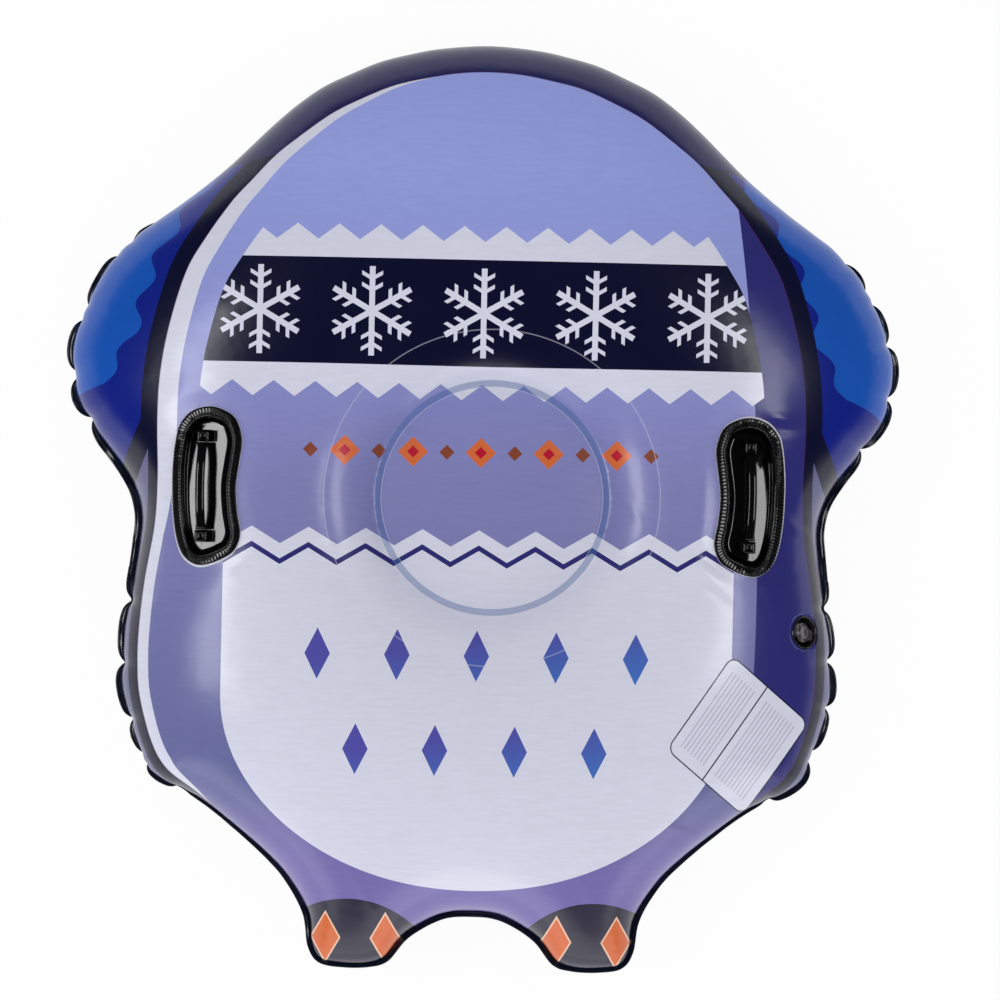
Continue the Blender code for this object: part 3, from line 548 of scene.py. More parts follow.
@dataclass
class Sheet:
    """A finely divided inflated surface with what its print and its welds need."""

    points: np.ndarray
    faces: np.ndarray
    normals: np.ndarray
    rings: dict[str, np.ndarray]
    least_upward: float = 0.02

    def __post_init__(self) -> None:
        """Prepare the list of faces that look upwards and an empty place for their search tree."""
        upward = self.normals[self.faces].mean(axis=1)[:, 2] > self.least_upward
        self.upward = np.flatnonzero(upward)
        self.tree = None

    def search_tree(self) -> BVHTree:
        """Give the search tree over the faces that look upwards.

        Returns:
            The tree, which is built at its first use.
        """
        if self.tree is None:
            self.tree = BVHTree.FromPolygons(self.points.tolist(), self.faces[self.upward].tolist())
        return self.tree

    def inside(self, name: str) -> np.ndarray:
        """Tell for each face whether its middle lies inside the named ring, seen from above."""
        middles = self.points[self.faces].mean(axis=1)[:, :2]
        return inside_polygon(self.points[self.rings[name]][:, :2], middles)

    def slab(self, chosen: np.ndarray, low: float, high: float) -> tuple[np.ndarray, list, np.ndarray]:
        """Build a closed layer between two distances along the normals.

        Args:
            chosen: whether a face belongs to the layer.
            low: distance of its lower side.
            high: distance of its upper side.

        Returns:
            Points, faces and the numbers of the surface points used.
        """
        faces = self.faces[chosen]
        used, compact = np.unique(faces, return_inverse=True)
        compact = compact.reshape(faces.shape)
        count = len(used)
        base, normal = self.points[used], self.normals[used]
        points = np.vstack([base + normal * high, base + normal * low])
        edges = np.vstack([compact[:, [0, 1]], compact[:, [1, 2]], compact[:, [2, 0]]])
        forward = edges[:, 0].astype(np.int64) * count + edges[:, 1]
        backward = edges[:, 1].astype(np.int64) * count + edges[:, 0]
        border = edges[~np.isin(forward, backward)]
        sides = np.column_stack([border[:, 1], border[:, 0], border[:, 0] + count, border[:, 1] + count])
        every = compact.tolist() + (compact[:, ::-1] + count).tolist() + sides.tolist()
        return points, every, used

    def drop(self, flat: np.ndarray) -> tuple[np.ndarray, np.ndarray]:
        """Find the surface above flat places.

        Args:
            flat: x and y of each place.

        Returns:
            The surface points and their smooth normals.
        """
        starts = np.column_stack([flat, np.ones(len(flat))])
        return self.cast(starts, np.array([0.0, 0.0, -1.0]))

    def cast(self, starts: np.ndarray, direction: np.ndarray) -> tuple[np.ndarray, np.ndarray]:
        """Find the surface from given places in one direction.

        Args:
            starts: where each ray starts.
            direction: the rays' common direction.

        Returns:
            The surface points and their smooth normals.
        """
        tree = self.search_tree()
        towards = Vector(direction)
        hits = [tree.ray_cast(Vector(start), towards) for start in starts.tolist()]
        found = np.array([tuple(hit[0]) for hit in hits])
        faces = self.faces[self.upward[[hit[2] for hit in hits]]]
        a, b, c = (self.points[faces[:, k]] for k in range(3))
        whole = np.linalg.norm(np.cross(b - a, c - a), axis=1)
        first = np.linalg.norm(np.cross(b - found, c - found), axis=1) / whole
        second = np.linalg.norm(np.cross(c - found, a - found), axis=1) / whole
        weights = np.stack([first, second, 1.0 - first - second], axis=1)
        normals = (self.normals[faces] * weights[:, :, None]).sum(axis=1)
        return found, normals / np.linalg.norm(normals, axis=1)[:, None]


@dataclass(frozen=True)
class SheetShape:
    """How one sheet inflates between the rim and the baffle ring."""

    rise: float
    ring_rise: float
    dome: float
    pitch: float
    rim_count: int
    ring_count: int
    ring_centre: tuple[float, float] = (0.0127, 0.0126)
    ring_radius: float = 0.1215
    ring_width: float = 0.0070
    patch_radius: float = 0.178
    gap: float = 0.0003
    lip: float = 0.0015
    seam_thickness: float = 0.0010
    patch_dip: float = 0.0012
    patch_dip_width: float = 0.016
    handle_dip: float = 0.0004
    handle_pillow: float = 0.0006
    pillow_reach: float = 0.020
    pinch_depth: float = 0.0026
    pinch_reach: float = 0.016
    near_rows: tuple = (0.0004, 0.0012, 0.0025, 0.0045, 0.0072, 0.0105, 0.0145)
    curl_steps: int = 7
    grid_half: tuple[float, float] = (0.46, 0.52)
    row_clearance: float = 0.7
    ring_clearance: float = 0.45
    merge_distance: float = 1e-7
    least_area: float = 1e-14
    stiffest: float = 20.0
    solver_turns: int = 3000
    solver_end: float = 1e-9
    height_turns: int = 8
    fold_end: float = 0.04

    def baffle_rings(self) -> dict[str, np.ndarray]:
        """Give the circles of the baffle.

        Returns:
            Both edges of the weld ring and the edge of the patch, seen from above, by name.
        """
        half_width = self.ring_width / 2
        return {
            "ring_inner": circle(self.ring_centre, self.ring_radius - half_width, self.ring_count),
            "ring_outer": circle(self.ring_centre, self.ring_radius + half_width, self.ring_count),
            "patch": circle(self.ring_centre, self.patch_radius, self.ring_count),
        }

    def divide(self, rim: Rim, rings: dict) -> tuple[np.ndarray, np.ndarray, dict[str, np.ndarray]]:
        """Divide the area inside the rim into triangles that follow every ring.

        Args:
            rim: the rim curves.
            rings: named closed curves that become edges.

        Returns:
            Flat points, triangles and the rings as point numbers.
        """
        half_x, half_y = self.grid_half
        columns = np.arange(-half_x, half_x, self.pitch)
        lines = np.arange(-half_y, half_y, self.pitch * math.sqrt(0.75))
        grid_x, grid_y = np.meshgrid(columns, lines)
        grid_x = grid_x + (np.arange(len(lines)) % 2)[:, None] * self.pitch / 2
        grid = np.stack([grid_x.ravel(), grid_y.ravel()], axis=1)
        grid = grid[inside_polygon(rim.bulge[::4], grid)]
        distance, _ = nearest_on(rim.bulge[::4], grid)
        loose = [grid[distance > self.near_rows[-1] + self.pitch * self.row_clearance]]
        loose += [rim.bulge - rim.normal * step for step in self.near_rows]
        loose = np.vstack(loose)
        for curve in rings.values():
            away, _ = nearest_on(curve, loose)
            loose = loose[away > self.pitch * self.ring_clearance]
        curves = {"rim": rim.bulge, **rings}
        points, edges, spans = [], [], {}
        for name, curve in curves.items():
            start = len(points)
            spans[name] = range(start, start + len(curve))
            points.extend(curve.tolist())
            edges.extend((start + i, start + (i + 1) % len(curve)) for i in range(len(curve)))
        points.extend(loose.tolist())
        result = delaunay_2d_cdt([Vector(p) for p in points], edges, [], 1, self.merge_distance)
        new_index = {source: number for number, sources in enumerate(result[3]) for source in sources}
        found = np.array([(p.x, p.y) for p in result[0]])
        faces = np.array([tuple(face) for face in result[2]])
        corners = found[faces]
        first, second = corners[:, 1] - corners[:, 0], corners[:, 2] - corners[:, 0]
        turned = first[:, 0] * second[:, 1] - first[:, 1] * second[:, 0] < 0
        faces[turned] = faces[turned][:, ::-1]
        named = {name: np.array([new_index[i] for i in span]) for name, span in spans.items()}
        return found, faces, named

    def settle_membrane(
        self, flat: np.ndarray, faces: np.ndarray, held: np.ndarray, level: np.ndarray, load: float
    ) -> np.ndarray:
        """Solve the evenly loaded membrane by conjugate gradients.

        Args:
            flat: flat points.
            faces: triangles.
            held: whether a point is held.
            level: the value at the held points.
            load: the load per area.

        Returns:
            The membrane's value at every point.
        """
        count = len(flat)
        corners = flat[faces]
        pairs, weights, right = [], [], np.zeros(count)
        for k in range(3):
            b, c = faces[:, (k + 1) % 3], faces[:, (k + 2) % 3]
            to_b = corners[:, (k + 1) % 3] - corners[:, k]
            to_c = corners[:, (k + 2) % 3] - corners[:, k]
            cross = np.abs(to_b[:, 0] * to_c[:, 1] - to_b[:, 1] * to_c[:, 0]) + self.least_area
            pairs.append(np.stack([b, c], axis=1))
            weights.append(np.clip(0.5 * (to_b * to_c).sum(axis=1) / cross, 0.0, self.stiffest))
            np.add.at(right, faces[:, k], load * cross / 6)
        pairs, weights = np.vstack(pairs), np.concatenate(weights)
        first = np.concatenate([pairs[:, 0], pairs[:, 1]])
        second = np.concatenate([pairs[:, 1], pairs[:, 0]])
        weights = np.concatenate([weights, weights])
        diagonal = np.bincount(first, weights, count)

        def spread(value: np.ndarray) -> np.ndarray:
            """Apply the stiffness of the membrane."""
            return diagonal * value - np.bincount(first, weights * value[second], count)

        value = np.where(held, level, 0.0)
        rest = np.where(held, 0.0, right - spread(value))
        scaled = rest / diagonal
        step = scaled.copy()
        size = rest @ scaled
        start_size = size
        for _ in range(self.solver_turns):
            moved = np.where(held, 0.0, spread(step))
            factor = size / (step @ moved)
            value = value + factor * step
            rest = rest - factor * moved
            scaled = rest / diagonal
            new_size = rest @ scaled
            if new_size < self.solver_end * start_size:
                break
            step = scaled + new_size / size * step
            size = new_size
        return value

    def inflate(self, rim: Rim, rings: dict, folds: tuple) -> Sheet:
        """Build the inflated surface above the seam plane.

        Args:
            rim: the rim curves.
            rings: named curves that the surface follows.
            folds: soft folds that are pressed into it.

        Returns:
            The surface, with heights measured from the seam plane.
        """
        centre = np.array(self.ring_centre)
        flat, faces, named = self.divide(rim, rings)
        from_ring = np.linalg.norm(flat - centre, axis=1)
        inner_radius = self.ring_radius - self.ring_width / 2
        within = from_ring < self.ring_radius + self.ring_width / 2 + self.gap
        held = within.copy()
        held[named["rim"]] = True
        lip = self.seam_thickness / 2 + self.gap
        swell = self.settle_membrane(flat, faces, held, np.zeros(len(flat)), 1.0)
        lift = self.settle_membrane(flat, faces, held, within.astype(float), 0.0)
        scale = 1.0
        for _ in range(self.height_turns):
            ring_value = ((self.ring_rise - lip) / scale) ** 2 / 2
            height = np.sqrt(2 * np.clip(swell + lift * ring_value, 0.0, None))
            scale = (self.rise - lip - self.lip) / height.max()
        height *= scale
        inside = np.clip(from_ring / inner_radius, 0.0, 1.0)
        height[within] = self.ring_rise - lip + (self.dome * (1.0 - inside**2))[within]
        around = rim.bulge - centre
        angle = np.arctan2(around[:, 1], around[:, 0])
        order = np.argsort(angle)
        own_angle = np.arctan2(*(flat - centre).T[::-1])
        reach = np.interp(own_angle, angle[order], np.linalg.norm(around, axis=1)[order], period=math.tau)
        overhang = np.interp(own_angle, angle[order], rim.overhang[order], period=math.tau)
        share = np.clip((from_ring - inner_radius) / (reach - inner_radius), 0.0, 1.0)
        height += (self.lip + overhang) * share**2 + lip
        beyond = np.abs(from_ring - self.patch_radius)
        dip = self.patch_dip * np.exp(-beyond / self.patch_dip_width)
        height -= dip * (from_ring > inner_radius + self.ring_width)
        for name, curve in rings.items():
            if name.endswith("_flange") and not name.startswith("valve"):
                away, _ = nearest_on(curve, flat)
                reach_share = np.where(inside_polygon(curve, flat), 0.0, away) / self.pillow_reach
                near = np.exp(-(reach_share**2))
                height += self.handle_pillow * math.e * reach_share**2 * near - self.handle_dip * near
        for start, end, width, rise in folds:
            height += rise * self.fold(flat, np.array(start), np.array(end), width)
        return self.curl(rim, np.column_stack([flat, height]), faces, named)

    def curl(self, rim: Rim, points: np.ndarray, faces: np.ndarray, named: dict[str, np.ndarray]) -> Sheet:
        """Curl the edge of the surface in under its bulge, and pinch it between the lobes of the weld.

        Args:
            rim: the rim curves.
            points: the inflated surface.
            faces: its triangles.
            named: its rings as point numbers.

        Returns:
            The whole surface.
        """
        lip = self.seam_thickness / 2 + self.gap
        distances, owners = nearest_on(rim.bulge, points[:, :2])
        previous = named["rim"]
        top = points[previous]
        for number in range(1, self.curl_steps + 1):
            turn = number / self.curl_steps * math.pi / 2
            across = rim.bulge + (rim.weld - rim.bulge) * (1.0 - math.cos(turn))
            down = top[:, 2] - (top[:, 2] - lip) * math.sin(turn)
            current = np.arange(len(points), len(points) + len(across))
            points = np.vstack([points, np.column_stack([across, down])])
            distances = np.concatenate([distances, np.zeros(len(across))])
            owners = np.concatenate([owners, np.arange(len(across))])
            after, before = np.roll(current, -1), np.roll(previous, -1)
            lower = np.stack([previous, current, after], axis=1)
            upper = np.stack([previous, after, before], axis=1)
            faces = np.vstack([faces, lower, upper])
            previous = current
        pinch = rim.pinch[owners] * np.exp(-distances / self.pinch_reach)
        points[:, :2] -= rim.normal[owners] * (pinch * self.pinch_depth)[:, None]
        return Sheet(points, faces, vertex_normals(points, faces), named)

    def fold(self, flat: np.ndarray, start: np.ndarray, end: np.ndarray, width: float) -> np.ndarray:
        """Give the profile of a fold, from 0 away from it to 1 on its line.

        Args:
            flat: flat points.
            start: where the fold begins.
            end: where it ends.
            width: its width.

        Returns:
            The share of the fold's height at each point.
        """
        along = end - start
        share = np.clip((flat - start) @ along / (along @ along), 0.0, 1.0)
        away = np.linalg.norm(flat - start - share[:, None] * along, axis=1)
        ends = np.sin(math.pi * np.clip(share, self.fold_end, 1.0 - self.fold_end)) ** 0.5
        return np.exp(-((away / width) ** 2)) * ends


@dataclass
class Place:
    """A local frame: its origin and its three axes in the sled's frame."""

    origin: np.ndarray
    u: np.ndarray
    v: np.ndarray
    w: np.ndarray

    def world(self, points: np.ndarray) -> np.ndarray:
        """Turn local points into points of the sled's frame."""
        return self.origin + np.asarray(points, dtype=float) @ np.array([self.u, self.v, self.w])


class Print(Enum):
    """Ink colours of the printed film, sampled."""

    LAVENDER_TOP = "#9ba7ec"
    LAVENDER = "#8383bc"
    SLATE = "#666b9f"
    SNOW = "#dadcee"
    NAVY = "#060a30"
    ROYAL = "#001a86"
    AZURE = "#0052b8"
    VIOLET = "#2c2b78"
    # A lighter navy for the head's rim, lighter to paint in the sheen along that rim
    MIDNIGHT_SHEEN = "#121254"
    RULE = "#8c8fa6"
    INDIGO = "#5350ac"
    SKY = "#3f74c6"
    ORANGE = "#dc6c38"
    PEACH = "#f0c4a8"
    BROWN = "#8a4630"
    RED = "#bf0a30"
    CHARCOAL = "#302d42"
    LILAC = "#605f8a"
    HEM = "#7a6fb2"
    MAGENTA = "#5a1450"
    WELD_BLUE = "#4068a8"


@dataclass(frozen=True)
class FilmPrint:
    """The generic winter knit design printed on the top sheet, laid out in metres.

    A motif is rows of steps. A step is a name, a Math operation or its sign, and its inputs, which
    are numbers, the names of earlier steps, or steps nested in it. "x" and "y" are the place on the
    sheet, and "field" is the distance from the edge of the printed field, positive inside it.
    Slopes of the drawn edges stand in the steps, and sizes and places are the fields below.
    """

    ring_centre: tuple[float, float] = (0.0127, 0.0126)
    ring_radius: float = 0.1215
    ring_width: float = 0.0070
    patch_radius: float = 0.178
    ring_strength: float = 0.50
    # Painted highlight lines just inside the ring and along the patch's edge
    painted_highlight_strength: float = 0.32
    painted_highlight_half: float = 0.0005
    painted_highlight_offset: float = 0.0004
    patch_highlight_half: float = 0.0006
    contour_width: float = 0.0180
    contour_spread_below: float = 0.088
    contour_end: float = -0.348
    highlight_width: float = 0.0240
    joint_half: float = 0.0006
    joint_strength: float = 0.35
    stripe_middle: float = -0.080
    stripe_place: float = 0.295
    field_margin: float = 0.044
    tooth_half_pitch: float = 0.022
    border_top: float = 0.282
    border_bottom: float = 0.132
    band_middle: float = 0.207
    band_half: float = 0.056
    star_half_pitch: float = 0.059
    star_half_stroke: float = 0.0030
    star_reach: float = 0.0470
    twig_first: float = 0.0220
    twig_half_pitch: float = 0.0060
    twig_half_stroke: float = 0.0022
    twig_length: float = 0.0110
    twig_start: float = 0.0190
    twig_end: float = 0.0370
    gem_place: float = 0.060
    gem_half_pitch: float = 0.036
    gem_half: float = 0.0160
    gem_core_half: float = 0.0065
    dot_half: float = 0.0080
    gem_reach: float = 0.200
    fang_half_pitch: float = 0.030
    apron_top: float = -0.022
    apron_round_place: float = -0.200
    apron_round: float = 0.205
    apron_half_width: float = 0.270
    thread_inset: float = 0.016
    thread_width: float = 0.006
    row_top: float = -0.105
    row_pitch: float = 0.100
    lozenge_half_pitch: float = 0.042
    lozenge_half: float = 0.0135
    lozenge_reach: float = 0.190
    side_strip_inset: float = 0.0105
    side_strip_top: float = 0.0835
    wave_length: float = 0.050
    wave_height: float = 0.0060
    azure_inset: float = 0.0280
    azure_spread_below: float = 0.178
    azure_taper_below: float = 0.125
    # Where the printed band over the head begins; it is lightened as painted sheen
    crown_sheen_place: float = 0.372
    tail_centre: tuple[float, float] = (0.130, -0.512)
    tail_radius: float = 0.096
    pair_centre: tuple[float, float] = (0.123, -0.459)
    pair_half_pitch: float = 0.032
    pair_half: float = 0.0145
    pair_edge_half: float = 0.0165
    panel_centre: tuple[float, float] = (0.2789, -0.2342)
    panel_u: tuple[float, float] = (0.837, -0.558)
    panel_v: tuple[float, float] = (0.649, 0.769)
    panel_half: tuple[float, float] = (0.0445, 0.0500)
    panel_corner: float = 0.0110
    panel_frame: float = 0.0013
    divider_place: float = -0.0047
    divider_half: float = 0.0007
    rule_half_pitch: float = 0.0022
    rule_half_stroke: float = 0.0005
    rule_margin: float = 0.0080
    rule_reach: tuple[float, float] = (0.0470, 0.0480)
    rule_strength: float = 0.7

    def steps(self) -> tuple:
        """Give the steps that turn a place on the sheet into the masks of the inks.

        Returns:
            The steps of every motif, in an order in which each one finds its inputs.
        """
        motifs = (
            self.field_steps(),
            self.contour_steps(),
            self.star_band_steps(),
            self.gem_row_steps(),
            self.apron_steps(),
            self.lozenge_steps(),
            self.hem_steps(),
            self.side_lobe_steps(),
            self.tail_steps(),
            self.panel_steps(),
            self.baffle_steps(),
        )
        return tuple(step for motif in motifs for step in motif)

    def field_steps(self) -> tuple:
        """Tell the field from the film outside it, with the violet stripe on its right.

        Returns:
            Steps up to "in_field", "out_field", "stripe" and "clear".
        """
        return (
            ("across", "abs", "x"),
            ("outside", "*", "field", -1.0),
            ("in_field", ">", "field", 0.0),
            ("out_field", "<", "field", 0.0),
            ("clear", ">", "field", self.field_margin),
            ("bow", "-", "y", self.stripe_middle),
            ("stripe", "*", (">", "x", ("*+", ("*", "bow", "bow"), -0.17, self.stripe_place)), "in_field"),
        )

    def contour_steps(self) -> tuple:
        """Draw the dark band round the field, the pale line inside it and the ink in their joint.

        Returns:
            Steps up to "contour", "highlight" and "joint".
        """
        return (
            # The band is wider towards the hem, where it ends
            ("band_grow", "max", ("-", self.contour_spread_below, "y"), 0.0),
            ("above_hem", ">", "y", self.contour_end),
            ("band", "*", ("<", "outside", ("*+", "band_grow", 0.45, self.contour_width)), "above_hem"),
            ("contour", "*", "band", "out_field"),
            # The pale line lies on the left and runs out at the head and at the hem
            ("line_end", "max", ("min", ("*+", "y", 20.0, 6.4), 1.0), 0.0),
            ("line_share", "*", ("max", ("min", ("*+", "y", 5.2, 0.69), 1.0), 0.51), "line_end"),
            ("line_width", "*", ("min", ("*+", "x", -0.080, -0.0045), self.highlight_width), "line_share"),
            ("highlight", "*", ("<", "field", "line_width"), "in_field"),
            # A thread of the first ink shows in the joint
            ("joint", "*", ("<", ("abs", "field"), self.joint_half), "above_hem", self.joint_strength),
        )

    def star_band_steps(self) -> tuple:
        """Draw the knit band with six-armed stars between toothed borders.

        Returns:
            Steps up to "knit_trim", "knit" and "star".
        """
        return (
            ("tooth_high", "*", ("PINGPONG", "x", self.tooth_half_pitch), 0.75),
            ("trim_over", ">", "y", ("-", self.border_bottom, "tooth_high")),
            ("knit_trim", "*", ("<", "y", ("+", "tooth_high", self.border_top)), "trim_over", "clear"),
            ("mid_y", "-", "y", self.band_middle),
            ("knit", "*", ("<", ("abs", "mid_y"), self.band_half), "clear"),
            # One arm of a star, folded six times round its middle
            ("cell", "WRAP", "x", self.star_half_pitch, -self.star_half_pitch),
            ("star_r", "SQRT", ("*+", "mid_y", "mid_y", ("*", "cell", "cell"))),
            ("star_fold", "PINGPONG", ("ARCTAN2", "cell", "mid_y"), math.pi / 6),
            ("arm", "*", "star_r", ("COSINE", "star_fold")),
            ("off", "*", "star_r", ("SINE", "star_fold")),
            ("arm_on", "*", ("<", "off", self.star_half_stroke), ("<", "arm", self.star_reach)),
            # Its slanted twigs
            ("twig_line", "*+", "off", -0.577, "arm"),
            ("twig_cell", "PINGPONG", ("-", "twig_line", self.twig_first), self.twig_half_pitch),
            ("twig_strokes", "*", ("<", "twig_cell", self.twig_half_stroke), ("<", "off", self.twig_length)),
            ("twig_span", "*", (">", "twig_line", self.twig_start), ("<", "twig_line", self.twig_end)),
            ("star", "*", ("max", "arm_on", ("*", "twig_strokes", "twig_span")), "knit"),
        )

    def gem_row_steps(self) -> tuple:
        """Draw the row of small diamonds with a dot between each two.

        Returns:
            Steps up to "gem", "gem_core" and "dot".
        """
        return (
            ("gem_y_off", "abs", ("-", "y", self.gem_place)),
            ("gem_x", "PINGPONG", "x", self.gem_half_pitch),
            ("gem_sum", "+", "gem_x", "gem_y_off"),
            ("dot_shape", "<", ("+", ("-", self.gem_half_pitch, "gem_x"), "gem_y_off"), self.dot_half),
            ("gem_near", "<", "across", self.gem_reach),
            ("gem", "*", ("<", "gem_sum", self.gem_half), "gem_near"),
            ("gem_core", "*", ("<", "gem_sum", self.gem_core_half), "gem_near"),
            ("dot", "*", "dot_shape", "gem_near"),
        )

    def apron_steps(self) -> tuple:
        """Draw the pale apron with its toothed top and the thread along it.

        Returns:
            Steps up to "apron" and "thread".
        """
        rounding = 1.0 / self.apron_round
        return (
            ("fang_edge", "*+", ("PINGPONG", "x", self.fang_half_pitch), -0.60, self.apron_top),
            ("apron_low", "max", ("*+", "y", -rounding, self.apron_round_place * rounding), 0.0),
            ("apron_x", "*", "x", 1.0 / self.apron_half_width),
            ("apron_inner", "<", ("*+", "apron_low", "apron_low", ("*", "apron_x", "apron_x")), 1.0),
            ("apron", "*", ("<", "y", "fang_edge"), "apron_inner"),
            ("thread_over", ">", "y", ("-", "fang_edge", self.thread_inset + self.thread_width)),
            ("thread", "*", ("<", "y", ("-", "fang_edge", self.thread_inset)), "thread_over", "apron"),
        )

    def lozenge_steps(self) -> tuple:
        """Draw two rows of upright blue diamonds on the apron, each dyed lighter downwards.

        Returns:
            Steps up to "lozenge" and "dye".
        """
        second = self.row_top - self.row_pitch
        return (
            ("row_mid", "-", ("WRAP", "y", self.row_top, second), self.row_top - self.row_pitch / 2),
            ("row_shift", "*+", ("<", "y", second), self.lozenge_half_pitch, "x"),
            ("row_slant", "*", ("abs", "row_mid"), 0.50),
            ("row_sum", "+", ("PINGPONG", "row_shift", self.lozenge_half_pitch), "row_slant"),
            ("lozenge_near", "<", "across", self.lozenge_reach),
            ("lozenge_rows", "*", ("<", "y", self.row_top), (">", "y", second - self.row_pitch)),
            ("lozenge", "*", ("<", "row_sum", self.lozenge_half), "lozenge_rows", "lozenge_near"),
            ("dye_share", "min", ("max", ("*+", "x", 2.2, ("*+", "row_mid", -14.0, 0.25)), 0.0), 1.0),
            ("dye", "*", "dye_share", "lozenge"),
        )

    def hem_steps(self) -> tuple:
        """Shade the film below the apron, and outside the field under the waist.

        Returns:
            Steps up to "hem" and "side_strip".
        """
        return (
            ("hem", "min", ("max", ("*+", "y", -12.0, -3.50), 0.0), 1.0),
            ("strip_low", "<", ("*+", "outside", 2.5, "y"), self.side_strip_top),
            ("side_strip", "*", (">", "outside", self.side_strip_inset), "strip_low"),
        )

    def side_lobe_steps(self) -> tuple:
        """Draw the side lobes with a wavy lighter zone by the rim, and a band of painted sheen at the head.

        Returns:
            Steps up to "lobe", "azure" and "crown".
        """
        return (
            ("upper", ">", "y", 0.0),
            ("lobe", "*", "out_field", "upper"),
            ("wave", "SINE", ("*", "y", math.tau / self.wave_length)),
            ("azure_side", "*+", "x", -0.020, self.azure_inset),
            ("azure_start", "*+", ("max", ("-", self.azure_spread_below, "y"), 0.0), 0.45, "azure_side"),
            ("azure_rim", "*+", ("max", ("-", self.azure_taper_below, "y"), 0.0), 1.2, "azure_start"),
            ("azure", "*", (">", "outside", ("*+", "wave", self.wave_height, "azure_rim")), "upper"),
            # A printed band near the head's outline, in a lighter navy that paints in the sheen along that
            # rim
            ("crown_sheen_band", "*", (">", "y", ("*+", "outside", -0.5, self.crown_sheen_place)), "out_field"),
        )

    def tail_steps(self) -> tuple:
        """Draw the dark tail lobes with two upright diamonds on each.

        Returns:
            Steps up to "tail", "tail_gem" and "tail_pale".
        """
        return (
            ("tail_x", "-", "across", self.tail_centre[0]),
            ("tail_y", "-", "y", self.tail_centre[1]),
            ("tail_r", "SQRT", ("*+", "tail_y", "tail_y", ("*", "tail_x", "tail_x"))),
            ("tail", "<", "tail_r", self.tail_radius),
            ("pair_far", "-", ("abs", ("-", "across", self.pair_centre[0])), self.pair_half_pitch),
            ("pair_sum", "*+", ("abs", ("-", "y", self.pair_centre[1])), 0.56, ("abs", "pair_far")),
            ("tail_gem", "<", "pair_sum", self.pair_half),
            ("tail_pale", "<", "pair_sum", self.pair_edge_half),
        )

    def panel_steps(self) -> tuple:
        """Draw the blank panel near the valve, with its frame, its divider and plain rules.

        Returns:
            Steps up to "panel", "panel_ink" and "rule".
        """
        return (
            ("panel_x", "-", "x", self.panel_centre[0]),
            ("panel_y", "-", "y", self.panel_centre[1]),
            ("panel_u", "*+", "panel_y", self.panel_u[1], ("*", "panel_x", self.panel_u[0])),
            ("u_off", "abs", "panel_u"),
            ("v_off", "abs", ("*+", "panel_y", self.panel_v[1], ("*", "panel_x", self.panel_v[0]))),
            ("u_out", "max", ("-", "u_off", self.panel_half[0]), 0.0),
            ("v_out", "max", ("-", "v_off", self.panel_half[1]), 0.0),
            ("panel_r", "SQRT", ("*+", "v_out", "v_out", ("*", "u_out", "u_out"))),
            ("panel", "<", "panel_r", self.panel_corner),
            ("divider", "-", "panel_u", self.divider_place),
            ("divider_off", "abs", "divider"),
            ("divider_on", "<", "divider_off", self.divider_half),
            ("panel_lines", "max", (">", "panel_r", self.panel_corner - self.panel_frame), "divider_on"),
            ("panel_ink", "*", "panel_lines", "panel"),
            ("rule_line", "<", ("PINGPONG", "divider", self.rule_half_pitch), self.rule_half_stroke),
            ("rule_area", "*", ("<", "u_off", self.rule_reach[0]), ("<", "v_off", self.rule_reach[1])),
            ("rule_off", ">", "divider_off", self.rule_margin),
            ("rule", "*", "rule_line", "rule_off", "rule_area", self.rule_strength),
        )

    def baffle_steps(self) -> tuple:
        """Draw the welded ring seen through the film, and painted highlights inside it and at the patch.

        Returns:
            Steps up to "ring_ink" and "shine".
        """
        return (
            ("ring_x", "-", "x", self.ring_centre[0]),
            ("ring_y", "-", "y", self.ring_centre[1]),
            ("ring_r", "SQRT", ("*+", "ring_y", "ring_y", ("*", "ring_x", "ring_x"))),
            ("ring_away", "-", "ring_r", self.ring_radius),
            ("ring_ink", "*", ("<", ("abs", "ring_away"), self.ring_width / 2), self.ring_strength),
            # Painted highlights: a thin pale line just inside the ring and one along the patch's edge
            ("painted_highlight_off", "abs", ("+", "ring_away", self.ring_width / 2 + self.painted_highlight_offset)),
            ("patch_highlight_line", "<", ("abs", ("-", "ring_r", self.patch_radius)), self.patch_highlight_half),
            ("painted_highlight_lines", "*", ("max", ("<", "painted_highlight_off", self.painted_highlight_half), "patch_highlight_line"), self.painted_highlight_strength),
        )

    @staticmethod
    def layers() -> tuple:
        """Give the inks in printing order.

        Returns:
            Pairs of a mask and the ink that goes through it.
        """
        return (
            ("lobe", Print.ROYAL),
            ("azure", Print.AZURE),
            ("contour", Print.NAVY),
            # Lighter navy over the head's rim: print, lightened as painted sheen
            ("crown_sheen_band", Print.MIDNIGHT_SHEEN),
            ("side_strip", Print.LILAC),
            ("stripe", Print.VIOLET),
            ("hem", Print.HEM),
            ("highlight", Print.SNOW),
            ("joint", Print.MAGENTA),
            ("knit_trim", Print.SNOW),
            ("knit", Print.NAVY),
            ("star", Print.SNOW),
            ("gem", Print.ORANGE),
            ("gem_core", Print.RED),
            ("dot", Print.BROWN),
            ("apron", Print.SNOW),
            ("thread", Print.VIOLET),
            ("lozenge", Print.INDIGO),
            ("dye", Print.SKY),
            ("tail", Print.CHARCOAL),
            ("tail_pale", Print.PEACH),
            ("tail_gem", Print.ORANGE),
            ("panel", Print.SNOW),
            ("panel_ink", Print.NAVY),
            ("rule", Print.RULE),
            ("ring_ink", Print.WELD_BLUE),
            # Painted highlights along the ring and the patch's edge
            ("painted_highlight_lines", Print.SNOW),
        )


